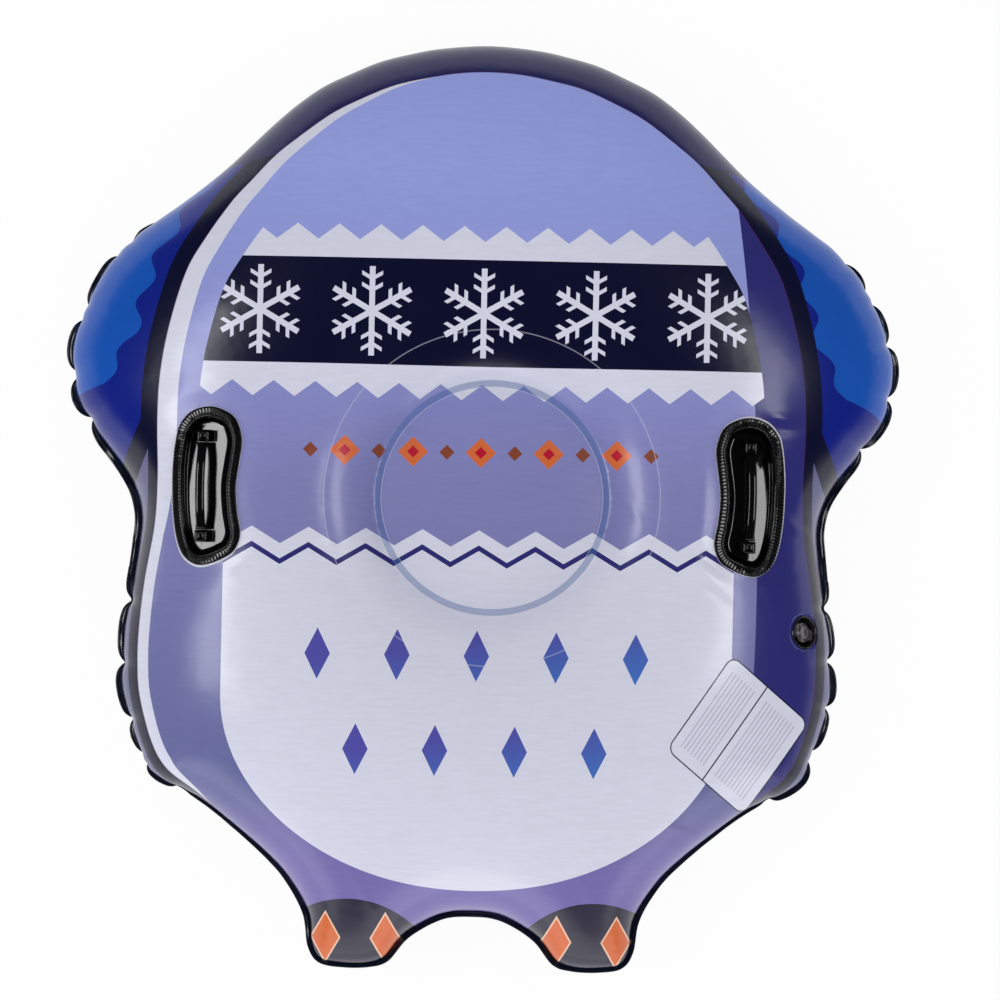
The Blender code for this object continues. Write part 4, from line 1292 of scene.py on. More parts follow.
@dataclass(frozen=True)
class Vinyl:
    """Soft polyvinyl chloride: calendered film, moulded parts and welds.

    The cloud is the slight change of tone over some centimetres. The grain is the orange peel that
    rollers and moulds leave. The real one is a few tenths of a millimetre wide, too fine to show,
    so it is drawn at one to four millimetres. Its depth is in metres.
    """

    name: str
    ink: str
    roughness: float
    coat: float
    grain_mm: float
    grain_depth: float = 0.00005
    tint_share: float = 0.06
    clearness: float = 0.0
    cloud_mm: float = 55.6
    refraction: float = 1.53
    coat_roughness: float = 0.06

    def material(self) -> bpy.types.Material:
        """Build a plain coloured vinyl with a fine moulded grain.

        Returns:
            The new material.
        """
        material = bpy.data.materials.new(self.name)
        tree = cleared_tree(material)
        place = add_node(tree, "ShaderNodeTexCoord", {}).outputs["Object"]
        pattern = {"Vector": place, "Scale": 1000.0 / self.cloud_mm, "Detail": 3.0}
        cloud = add_node(tree, "ShaderNodeTexNoise", pattern)
        base = linear(self.ink)[:3]
        dark = (*(part * (1.0 - self.tint_share * 2) for part in base), 1.0)
        light = (*(min(1.0, part * (1.0 + self.tint_share)) for part in base), 1.0)
        tones = {0: cloud.outputs["Fac"], 6: dark, 7: light}
        shade = add_node(tree, "ShaderNodeMix", tones, data_type="RGBA")
        ends = {3: self.roughness * 0.8, 4: self.roughness * 1.25}
        gloss = add_node(tree, "ShaderNodeMapRange", {0: cloud.outputs["Fac"], **ends})
        pattern = {"Vector": place, "Scale": 1000.0 / self.grain_mm, "Detail": 2.0}
        grain = add_node(tree, "ShaderNodeTexNoise", pattern)
        relief = {"Height": grain.outputs["Fac"], "Strength": 0.35, "Distance": self.grain_depth}
        skin = {
            "Base Color": shade.outputs[2],
            "Roughness": gloss.outputs[0],
            "Normal": add_node(tree, "ShaderNodeBump", relief).outputs[0],
            "IOR": self.refraction,
            "Coat Weight": self.coat,
            "Coat Roughness": self.coat_roughness,
            "Transmission Weight": self.clearness,
        }
        shader = add_node(tree, "ShaderNodeBsdfPrincipled", skin)
        add_node(tree, "ShaderNodeOutputMaterial", {"Surface": shader.outputs[0]})
        return material


@dataclass(frozen=True)
class PrintedFilm:
    """Gravure-printed PVC film, 0.6 mm thick: a smooth glossy skin over a faint screen of ink.

    The streaks are those of the doctor blade, and the ripple is the film's own slack. Streaks and
    grain are drawn a few times coarser than the real ones, which are too fine to show. Depths are
    metres.
    """

    name: str = "printed_pvc_film"
    design: FilmPrint = FilmPrint()
    roughness: float = 0.25
    refraction: float = 1.5
    coat: float = 0.12
    coat_roughness: float = 0.12
    streak_mm: tuple[float, float, float] = (25.0, 3.85, 25.0)
    streak_tone: float = 0.07
    ripple_mm: float = 38.5
    ripple_depth: float = 0.0012
    grain_mm: float = 1.11
    grain_depth: float = 0.00006
    # The field's ground runs from slate at the hem through lavender to a lighter lavender at the head
    fades: tuple = ((-0.30, 0.00, Print.LAVENDER), (0.02, 0.36, Print.LAVENDER_TOP))

    def material(self) -> bpy.types.Material:
        """Build the printed film.

        Returns:
            The new material.
        """
        material = bpy.data.materials.new(self.name)
        tree = cleared_tree(material)
        place = add_node(tree, "ShaderNodeTexCoord", {}).outputs["Object"]
        split = add_node(tree, "ShaderNodeSeparateXYZ", {0: place})
        field = add_node(tree, "ShaderNodeAttribute", {}, attribute_name="field")
        values = {"x": split.outputs[0], "y": split.outputs[1], "field": field.outputs["Fac"]}
        run_steps(tree, values, self.design.steps())
        layers = []
        for start, end, ink in self.fades:
            height = add_node(tree, "ShaderNodeMapRange", {0: values["y"], 1: start, 2: end})
            layers.append((height.outputs[0], ink))
        layers += [(values[mask], ink) for mask, ink in self.design.layers()]
        ground = linear(Print.SLATE.value)
        for share, ink in layers:
            inks = {0: share, 6: ground, 7: linear(ink.value)}
            ground = add_node(tree, "ShaderNodeMix", inks, data_type="RGBA").outputs[2]
        scale = tuple(1000.0 / size for size in self.streak_mm)
        streaks = add_node(tree, "ShaderNodeMapping", {"Vector": place, "Scale": scale})
        pattern = {"Vector": streaks.outputs[0], "Scale": 1.0, "Detail": 3.0}
        screen = add_node(tree, "ShaderNodeTexNoise", pattern)
        tones = {3: 1.0 - self.streak_tone, 4: 1.0 + self.streak_tone}
        tone = add_node(tree, "ShaderNodeMapRange", {0: screen.outputs["Fac"], **tones})
        shades = {0: 1.0, 6: ground, 7: tone.outputs[0]}
        shade = add_node(tree, "ShaderNodeMix", shades, data_type="RGBA", blend_type="MULTIPLY")
        slope = {}
        for size, strength, depth in (
            (self.ripple_mm, 0.5, self.ripple_depth),
            (self.grain_mm, 0.25, self.grain_depth),
        ):
            pattern = {"Vector": place, "Scale": 1000.0 / size, "Detail": 2.0}
            cloud = add_node(tree, "ShaderNodeTexNoise", pattern)
            relief = {"Height": cloud.outputs["Fac"], "Strength": strength, "Distance": depth, **slope}
            slope = {"Normal": add_node(tree, "ShaderNodeBump", relief).outputs[0]}
        skin = {
            "Base Color": shade.outputs[2],
            "Roughness": self.roughness,
            "IOR": self.refraction,
            "Coat Weight": self.coat,
            "Coat Roughness": self.coat_roughness,
            **slope,
        }
        shader = add_node(tree, "ShaderNodeBsdfPrincipled", skin)
        add_node(tree, "ShaderNodeOutputMaterial", {"Surface": shader.outputs[0]})
        return material


# Calendered film of the underside: even royal blue, glossy, with a faint orange peel
UNDERSIDE_FILM = Vinyl(
    "underside_pvc_film", "#0a1f7c", roughness=0.28, coat=0.4, grain_mm=1.6, grain_depth=0.00006
)
# Clear blue calendered film of the patches: a soft satin sheet
BAFFLE_FILM = Vinyl("baffle_pvc_film", "#5a7fc4", roughness=0.30, coat=0.2, grain_mm=1.4)
# High-frequency weld of the baffle's rings: fused film, darker and a little glossier
BAFFLE_WELD = Vinyl("baffle_weld_pvc", "#20408c", roughness=0.26, coat=0.3, grain_mm=1.2)
# White calendered film of the web: satin
WEB_FILM = Vinyl("baffle_web_pvc_film", "#d8d9e2", roughness=0.32, coat=0.2, grain_mm=1.4)
# High-frequency weld of the rim: both films fused into a dark, wet-looking band
RIM_WELD = Vinyl("welded_rim_pvc", "#050d22", roughness=0.22, coat=0.5, grain_mm=3.5)
# Injection-moulded soft PVC of the handles: black, polished by the mould
HANDLE_VINYL = Vinyl("moulded_black_pvc", "#08080b", roughness=0.13, coat=0.4, grain_mm=3.0)
# White calendered film behind the handles: a thin pale edge
BACKING_FILM = Vinyl(
    "backing_pvc_film", "#d6d7e6", roughness=0.34, coat=0.2, grain_mm=1.4, grain_depth=0.00004
)
# Smoke-tinted moulded soft PVC of the valve: dark in the recess
VALVE_VINYL = Vinyl(
    "smoke_valve_pvc", "#1d1c20", roughness=0.22, coat=0.6, grain_mm=2.0, grain_depth=0.00006, clearness=0.15
)
# The same soft PVC in the plug and its strap: see-through grey and slightly cloudy
PLUG_VINYL = Vinyl(
    "clear_smoke_pvc", "#59545a", roughness=0.20, coat=0.6, grain_mm=2.0, grain_depth=0.00006, clearness=0.25
)


@dataclass
class Sheets:
    """Both sheets of the sled and the surfaces that the other pieces stand on.

    The rough shape only serves to find the places where the valve's circles lie on the top sheet.
    """

    outline: Outline
    handles: tuple
    valve: "Valve"
    thickness: float = 0.0006
    seam_height: float = 0.088
    edge_count: int = 7000
    top_shape: SheetShape = SheetShape(
        rise=0.122, ring_rise=0.070, dome=0.012, pitch=0.0042, rim_count=1320, ring_count=240
    )
    low_shape: SheetShape = SheetShape(
        rise=0.097,
        ring_rise=0.060,
        dome=0.010,
        pitch=0.0075,
        rim_count=660,
        ring_count=120,
        near_rows=(0.001, 0.003, 0.006, 0.010, 0.0145),
    )
    rough_shape: SheetShape = SheetShape(
        rise=0.122,
        ring_rise=0.070,
        dome=0.012,
        pitch=0.0120,
        rim_count=330,
        ring_count=60,
        near_rows=(0.003, 0.008, 0.0145),
    )

    def __post_init__(self) -> None:
        """Work out both surfaces."""
        rough = self.inflated(self.rough_shape, {}, ())
        rough.points[:, 2] += self.seam_height
        rings = {}
        for handle in self.handles:
            rings |= handle.openings()
        rings |= self.valve.openings(rough)
        self.top = self.inflated(self.top_shape, rings, FOLDS)
        self.top.points[:, 2] += self.seam_height
        low = self.inflated(self.low_shape, {}, ())
        points = low.points * np.array([1.0, 1.0, -1.0])
        points[:, 2] = np.maximum(points[:, 2] + self.seam_height, 0.0)
        faces = low.faces[:, ::-1]
        self.bottom = Sheet(points, faces, vertex_normals(points, faces), low.rings)

    def inflated(self, shape: SheetShape, rings: dict, folds: tuple) -> Sheet:
        """Inflate one shape inside the outline.

        Args:
            shape: the shape of the sheet.
            rings: named curves that it follows beside the circles of the baffle.
            folds: soft folds that are pressed into it.

        Returns:
            The surface, with heights measured from the seam plane.
        """
        return shape.inflate(self.outline.rim(shape.rim_count), {**shape.baffle_rings(), **rings}, folds)

    def build(self) -> None:
        """Build both sheets and print the upper one."""
        open_faces = np.zeros(len(self.top.faces), dtype=bool)
        for name in ("left_hole", "right_hole", "valve_hole"):
            open_faces |= self.top.inside(name)
        points, faces, used = self.top.slab(~open_faces, -self.thickness, 0.0)
        top = make_piece("printed_top_sheet", points, faces, PrintedFilm().material())
        edge = closed_spline(self.field_edge(), self.edge_count)
        flat = self.top.points[used][:, :2]
        distance, _ = nearest_on(edge, flat)
        signed = np.where(inside_polygon(edge, flat), distance, -distance)
        attribute = top.data.attributes.new("field", "FLOAT", "POINT")
        attribute.data.foreach_set("value", np.concatenate([signed, signed]).astype(np.float32))
        attach(top, "sled", "top_sheet")
        everywhere = np.ones(len(self.bottom.faces), dtype=bool)
        points, faces, _ = self.bottom.slab(everywhere, -self.thickness, 0.0)
        bottom = make_piece("plain_bottom_sheet", points, faces, UNDERSIDE_FILM.material())
        attach(bottom, "sled", "bottom_sheet")
        LOG.info("sheets: %d and %d faces", len(self.top.faces), len(self.bottom.faces))

    def field_edge(self) -> np.ndarray:
        """Give the edge of the printed field.

        Returns:
            Its points, seen from above.
        """
        half = np.array(FIELD_EDGE_SHARES) * np.array([self.outline.width, self.outline.length]) / 2
        return np.vstack([half, half[-2:0:-1] * np.array([-1.0, 1.0])])


@dataclass(frozen=True)
class Baffle:
    """The inner patches and weld rings that hold the middle of the sheets down."""

    patch_thickness: float = 0.0006
    band_thickness: float = 0.0008
    gap: float = 0.0003

    def build(self, sheets: Sheets) -> None:
        """Build the layers under both sheets and dress the web.

        Args:
            sheets: the sheets that the layers are welded to.
        """
        patch_finish = BAFFLE_FILM.material()
        weld_finish = BAFFLE_WELD.material()
        for side, sheet in (("top", sheets.top), ("bottom", sheets.bottom)):
            start = sheets.thickness + self.gap
            end = start + self.patch_thickness
            under = end + self.gap
            around = sheet.inside("patch") & ~sheet.inside("ring_inner")
            band = sheet.inside("ring_outer") & ~sheet.inside("ring_inner")
            points, faces, _ = sheet.slab(around, -end, -start)
            attach(make_piece(f"patch_{side}", points, faces, patch_finish), "sled", f"baffle_patch_{side}")
            points, faces, _ = sheet.slab(band, -under - self.band_thickness, -under)
            attach(make_piece(f"weld_ring_{side}", points, faces, weld_finish), "sled", f"baffle_ring_{side}")
        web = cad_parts["baffle_web"]
        web.data.materials.clear()
        web.data.materials.append(WEB_FILM.material())
        LOG.info("baffle: patches, weld rings and web")


@dataclass(frozen=True)
class WeldBand:
    """The fused rim of both sheets, with two beads that the welding bar pressed up.

    A profile row is the share of the way to the outer edge, and the band's level: 0.5 is plain film,
    about 1 is a bead, and 0 closes the edge. A wave row is the number of waves round the rim, where
    they start, and their share.
    """

    count: int = 2400
    tongue: float = 0.0035
    half_thickness: float = 0.0005
    bead: float = 0.0011
    ripple: float = 0.0011
    profile: tuple = (
        (0.00, 0.50),
        (0.40, 0.50),
        (0.56, 0.55),
        (0.64, 0.95),
        (0.70, 1.05),
        (0.76, 0.75),
        (0.80, 0.62),
        (0.86, 0.95),
        (0.92, 1.15),
        (0.97, 0.85),
        (1.00, 0.00),
    )
    waves: tuple = ((31, 0.7, 1.0), (73, 2.1, 0.6), (139, 0.0, 0.4))

    def build(self, outline: Outline, sheets: Sheets) -> None:
        """Build the band round the rim.

        Args:
            outline: the sled's outline.
            sheets: the sheets that it joins.
        """
        rim = outline.rim(self.count)
        inward = -rim.normal * (rim.pinch * sheets.top_shape.pinch_depth)[:, None]
        inner = rim.weld - rim.normal * self.tongue + inward
        edge = rim.edge + inward
        across = edge - inner
        shown = np.clip(((edge - rim.bulge) * rim.normal).sum(axis=1) / outline.band_width, 0.0, 1.0)
        turn = np.arange(self.count) / self.count * math.tau
        wave = sum(share * np.sin(number * turn + start) for number, start, share in self.waves)
        lift = self.ripple * shown * wave
        beaded = (self.bead - self.half_thickness) * np.clip(shown * 2, 0.0, 1.0)
        rings = []
        for sign, rows in ((1.0, self.profile), (-1.0, self.profile[-2::-1])):
            for share, level in rows:
                bulk = self.half_thickness + beaded * max(level - 0.5, 0.0)
                height = sheets.seam_height + lift * share**3 + sign * bulk * (level > 0)
                rings.append(np.column_stack([inner + across * share, height]))
        points, faces = loft(rings, True)
        attach(make_piece("welded_rim", points, faces, RIM_WELD.material()), "sled", "perimeter_seam")
        LOG.info("weld band: %.1f mm at its widest", np.linalg.norm(across, axis=1).max() * 1000)


@dataclass(frozen=True)
class Seat:
    """Where a handle stands: the outer edge of its base with its normals, on the top sheet."""

    sheet: Sheet
    line: np.ndarray
    normal: np.ndarray
    cast_step: int = 4

    def inset(self, distance: float) -> np.ndarray:
        """Give the curve at a distance inwards from the edge, seen from above."""
        return self.line - self.normal * distance

    def level(self, distance: float) -> tuple[np.ndarray, np.ndarray]:
        """Find the sheet along such a curve, with few casts and even steps between them.

        Args:
            distance: the distance inwards from the edge.

        Returns:
            The points and the sheet's normals there.
        """
        flat = self.inset(distance)
        found, up = self.sheet.drop(flat[:: self.cast_step])
        every = np.arange(len(flat))
        cast = every[:: self.cast_step]
        height = np.interp(every, cast, found[:, 2], period=len(flat))
        ups = np.stack([np.interp(every, cast, column, period=len(flat)) for column in up.T], axis=1)
        return np.column_stack([flat, height]), ups


@dataclass(frozen=True)
class Handle:
    """One moulded grab handle: backing, ribbed base with its dish, grip bar and two lugs.

    A flange row is the distance inwards from the outer edge, the height over the flange's face, and
    how strongly the ribs show. A lug row is the distance inwards from the lug's side, and the depth
    under its top. A floor wave is its turn per metre along and across, its start and its share.
    """

    name: str
    side: float
    backing_shift: tuple[float, float]
    floor_tilt: float
    outer_tilt: float
    grip_shift: float
    flange_tilt: float
    place: tuple[float, float] = (0.2886, 0.018909)
    length: float = 0.168
    coarse_count: int = 200
    flange_width: float = 0.0100
    hole_inset: float = 0.0060
    flange_thickness: float = 0.0016
    backing_thickness: float = 0.0004
    backing_margin: float = 0.0004
    gap: float = 0.0003
    cup_depth: float = 0.0190
    cup_wall: float = 0.0018
    draft: float = 0.0030
    bend: float = 0.0030
    level_above: float = 0.0320
    level_slant: float = 0.6
    floor_wave: float = 0.00006
    floor_waves: tuple = ((160.0, 60.0, 0.0, 1.0), (97.0, 0.0, 1.0, 0.7))
    floor_shares: tuple = (0.01, 0.15, 0.30, 0.44, 0.57, 0.69, 0.80, 0.90, 0.97)
    fillet: float = 0.0040
    fillet_shares: tuple = (0.0, 0.25, 0.5, 0.75, 1.0)
    wall_shares: tuple = (0.3, 0.6, 0.85, 1.0)
    wall_top_inset: float = 0.0012
    wall_top_drop: float = 0.0034
    rib_pitch: float = 0.0036
    rib_height: float = 0.0011
    rib_middle: float = 0.8
    rib_bulge: float = 0.0003
    bulge_zone: float = 0.0010
    samples_per_rib: int = 12
    groove_start: float = 0.35
    flange_rows: tuple = (
        (0.0106, -0.0016, 0.0),
        (0.0103, -0.0006, 0.0),
        (0.0099, 0.0001, 0.0),
        (0.0095, 0.0003, 0.0),
        (0.0091, 0.0001, 0.0),
        (0.0088, -0.0003, 0.6),
        (0.0084, 0.0, 1.0),
        (0.0068, 0.0001, 1.0),
        (0.0050, 0.0001, 1.0),
        (0.0034, 0.0001, 1.0),
        (0.0020, 0.0, 1.0),
        (0.0012, -0.0001, 1.0),
        (0.0006, -0.0004, 0.9),
        (0.0001, -0.0010, 0.8),
    )
    grip_width: float = 0.0098
    grip_thickness: float = 0.0070
    grip_powers: tuple[float, float] = (0.7, 0.8)
    grip_end_drop: float = 0.0060
    grip_arch: float = 0.0090
    grip_bow: float = 0.0022
    grip_flare: float = 0.28
    flare_start: float = 0.86
    grip_count: int = 40
    grip_stations: int = 49
    lug_place: float = 0.0530
    lug_length: float = 0.0130
    lug_width: float = 0.0140
    lug_top_drop: float = 0.0010
    lug_squareness: float = 0.86
    lug_count: int = 48
    lug_rows: tuple = (
        (0.0000, 0.0022),
        (0.0006, 0.0009),
        (0.0018, 0.0001),
        (0.0030, 0.0000),
        (0.0036, 0.0002),
        (0.0040, 0.0010),
        (0.0060, 0.0011),
    )

    @property
    def lift(self) -> float:
        """Give the height of the flange's underside over the sheet."""
        return 2 * self.gap + self.backing_thickness

    @property
    def face(self) -> float:
        """Give the height of the flange's face over the sheet."""
        return self.lift + self.flange_thickness

    def line(self, count: int) -> np.ndarray:
        """Give the outer edge of the base, seen from above.

        Args:
            count: how many points it has.

        Returns:
            The points, anticlockwise.
        """
        shape = closed_spline(np.array(HANDLE_OUTLINE_SHARES) * self.length, count)
        line = shape * np.array([-self.side, 1.0]) + np.array([self.side * self.place[0], self.place[1]])
        return line[::-1] if self.side < 0 else line

    def openings(self) -> dict[str, np.ndarray]:
        """Give the curves that the top sheet follows.

        Returns:
            The edge of the sheet's opening and the edge of the flange, by name.
        """
        line = self.line(self.coarse_count)
        normal = outward_normals(line)
        return {
            f"{self.name}_hole": line - normal * self.hole_inset,
            f"{self.name}_flange": line,
        }

    def sag(self, flat: np.ndarray) -> np.ndarray:
        """Give how far the soft floor of the dish leaves its level.

        Args:
            flat: places on the floor, with x and y in their first columns.

        Returns:
            A height for each place.
        """
        across = self.side * flat[:, 0] - self.place[0]
        along = flat[:, 1] - self.place[1]
        outer = (across + np.sqrt(across**2 + self.bend**2)) / 2
        past = along - self.level_slant * across - self.level_above
        upper = 0.5 - 0.5 * np.tanh(past / (self.bend * 2))
        wave = np.zeros(len(flat))
        for turn_along, turn_across, start, share in self.floor_waves:
            wave += share * np.sin(along * turn_along + across * turn_across + start)
        return -self.floor_tilt * across - self.outer_tilt * outer * upper + self.floor_wave * wave

    def build(self, sheets: Sheets) -> None:
        """Build the five pieces of the handle.

        Args:
            sheets: the sheets that it stands on.
        """
        around = np.linalg.norm(np.diff(self.line(self.coarse_count), axis=0), axis=1).sum()
        ribs = int(round(around / self.rib_pitch))
        line = self.line(ribs * self.samples_per_rib)
        seat = Seat(sheets.top, line, outward_normals(line))
        finish = HANDLE_VINYL.material()
        self.build_backing(seat)
        self.build_base(seat, finish)
        mouth, _ = sheets.top.drop(seat.inset(self.flange_width)[::8])
        floor = mouth[:, 2].mean() - self.cup_depth
        centre = np.array([self.side * (self.place[0] + self.grip_shift), self.place[1], floor])
        _, along, up = np.eye(3)
        place = Place(centre, np.array([-self.side, 0.0, 0.0]), along, up)
        self.build_grip(place, finish)
        for lug, middle in (("upper", self.lug_place), ("lower", -self.lug_place)):
            self.build_lug(place, finish, f"handle_{self.name}_lug_{lug}", middle)
        LOG.info("%s handle: %d ribs", self.name, ribs)

    def build_backing(self, seat: Seat) -> None:
        """Build the pale patch under the flange, which shows as a thin crescent.

        Args:
            seat: where the handle stands.
        """
        line, normal = seat.line[:: seat.cast_step], seat.normal[:: seat.cast_step]
        margin = self.backing_margin + np.clip(normal @ np.array(self.backing_shift), 0.0, None)
        hole = np.full(len(line), self.hole_inset)
        low, high = self.gap, self.gap + self.backing_thickness
        rings = []
        for inset, lift in ((hole, low), (hole, high), (-margin, high), (-margin, low)):
            found, up = seat.sheet.drop(line - normal * inset[:, None])
            rings.append(found + up * lift)
        points, faces = loft(rings, True)
        piece = make_piece(f"backing_{self.name}", points, faces, BACKING_FILM.material())
        attach(piece, "sled", f"handle_{self.name}_backing")

    def build_base(self, seat: Seat, finish: bpy.types.Material) -> None:
        """Build the ribbed flange and the dish in one piece.

        Args:
            seat: where the handle stands.
            finish: the material.
        """
        mouth, _ = seat.level(self.flange_width)
        floor = mouth[:, 2].mean() - self.cup_depth
        rings = self.dish_rings(seat, mouth, floor)
        rings += self.flange_rings(seat)
        rings += self.underside_rings(seat, mouth, floor)
        points, faces = loft(rings, False, capped=True)
        piece = make_piece(f"ribbed_base_{self.name}", points, faces, finish)
        attach(piece, "sled", f"handle_{self.name}_base")

    def dish_rings(self, seat: Seat, mouth: np.ndarray, floor: float) -> list:
        """Shape the inside of the dish: its soft floor, its fillet and its leaning wall.

        Args:
            seat: where the handle stands.
            mouth: the inner edge of the flange.
            floor: the height of the floor.

        Returns:
            Rings from the middle of the floor to the top of the wall.
        """
        centre = mouth.mean(axis=0)[:2]
        foot = self.flange_width + self.draft
        floor_edge = seat.inset(foot + self.fillet)
        rings = []
        for share in self.floor_shares:
            flat = centre + (floor_edge - centre) * share
            rings.append(np.column_stack([flat, floor + self.sag(flat)]))
        for share in self.fillet_shares:
            turn = share * math.pi / 2
            flat = seat.inset(foot + self.fillet * (1.0 - math.sin(turn)))
            height = floor + self.sag(flat) + self.fillet * (1.0 - math.cos(turn))
            rings.append(np.column_stack([flat, height]))
        low = rings[-1][:, 2]
        top = mouth[:, 2] + self.face - self.wall_top_drop
        for share in self.wall_shares:
            inset = foot + (self.flange_width + self.wall_top_inset - foot) * share
            rings.append(np.column_stack([seat.inset(inset), low + (top - low) * share]))
        return rings

    def flange_rings(self, seat: Seat) -> list:
        """Shape the ribbed face of the flange and its underside.

        Args:
            seat: where the handle stands.

        Returns:
            Rings from the inner bead over the outer edge to the sheet's opening.
        """
        turn = np.arange(len(seat.line)) / self.samples_per_rib * math.tau
        rib = 1.0 - np.clip((np.cos(turn) - self.groove_start) / (1.0 - self.groove_start), 0.0, 1.0)
        rings = []
        for inset, rise, ribbed in self.flange_rows:
            base, up = seat.level(inset)
            height = self.face + rise - self.flange_tilt * inset
            height = height + ribbed * self.rib_height * (rib - self.rib_middle)
            ring = base + up * height[:, None]
            if inset < self.bulge_zone:
                ring[:, :2] += seat.normal * (self.rib_bulge * (rib - 0.5))[:, None]
            rings.append(ring)
        for inset in (0.0, self.hole_inset):
            base, up = seat.level(inset)
            rings.append(base + up * self.lift)
        return rings

    def underside_rings(self, seat: Seat, mouth: np.ndarray, floor: float) -> list:
        """Shape the outside of the dish, under the sheet.

        Args:
            seat: where the handle stands.
            mouth: the inner edge of the flange.
            floor: the height of the floor.

        Returns:
            Rings from the top of the wall to the edge of the floor.
        """
        top = seat.inset(self.flange_width - self.cup_wall)
        rings = [np.column_stack([top, mouth[:, 2] - self.flange_thickness])]
        foot = self.flange_width + self.draft - self.cup_wall
        for inset, rise in ((foot, self.fillet / 2), (foot + self.fillet, -self.cup_wall)):
            flat = seat.inset(inset)
            rings.append(np.column_stack([flat, floor + self.sag(flat) + rise]))
        return rings

    def build_grip(self, place: Place, finish: bpy.types.Material) -> None:
        """Build the bowed grip bar.

        Args:
            place: the frame on the floor of the dish.
            finish: the material.
        """
        reach = self.lug_place - self.lug_length / 2 - self.gap
        base = self.cup_depth - self.grip_end_drop
        turn = np.arange(self.grip_count) / self.grip_count * math.tau
        cosine, sine = np.cos(turn), np.sin(turn)
        wide = np.sign(cosine) * np.abs(cosine) ** self.grip_powers[0] * self.grip_width / 2
        thick = np.sign(sine) * np.abs(sine) ** self.grip_powers[1] * self.grip_thickness / 2
        rings = []
        for station in np.linspace(-1.0, 1.0, self.grip_stations):
            past = max(0.0, abs(station) - self.flare_start) / (1.0 - self.flare_start)
            across = wide * (1.0 + self.grip_flare * past) - self.grip_bow * (1.0 - station**2)
            height = base + self.grip_arch * (1.0 - station**4) + thick
            along = np.full(self.grip_count, station * reach)
            rings.append(place.world(np.column_stack([across, along, height])))
        points, faces = loft(rings, False, capped=True)
        attach(make_piece(f"grip_bar_{self.name}", points, faces, finish), "sled", f"handle_{self.name}_grip")

    def build_lug(self, place: Place, finish: bpy.types.Material, node: str, middle: float) -> None:
        """Build one square lug with rounded edges and a shallow square recess on top.

        Args:
            place: the frame on the floor of the dish.
            finish: the material.
            node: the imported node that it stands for.
            middle: where it stands along the handle.
        """
        top = self.cup_depth - self.lug_top_drop
        profile = [(0.0, self.gap)] + [(inset, top - depth) for inset, depth in self.lug_rows]
        turn = np.arange(self.lug_count) / self.lug_count * math.tau
        cosine, sine = np.cos(turn), np.sin(turn)
        square = np.maximum(np.abs(cosine), np.abs(sine))
        rounded = self.lug_squareness / square + 1.0 - self.lug_squareness
        rings = []
        for inset, height in profile:
            x = cosine * rounded * (self.lug_width / 2 - inset)
            y = sine * rounded * (self.lug_length / 2 - inset) + middle
            rings.append(place.world(np.column_stack([x, y, np.full(self.lug_count, height)])))
        rings[0][:, 2] += self.sag(rings[0])
        points, faces = loft(rings, False, capped=True)
        attach(make_piece(f"lug_{node}", points, faces, finish), "sled", node)


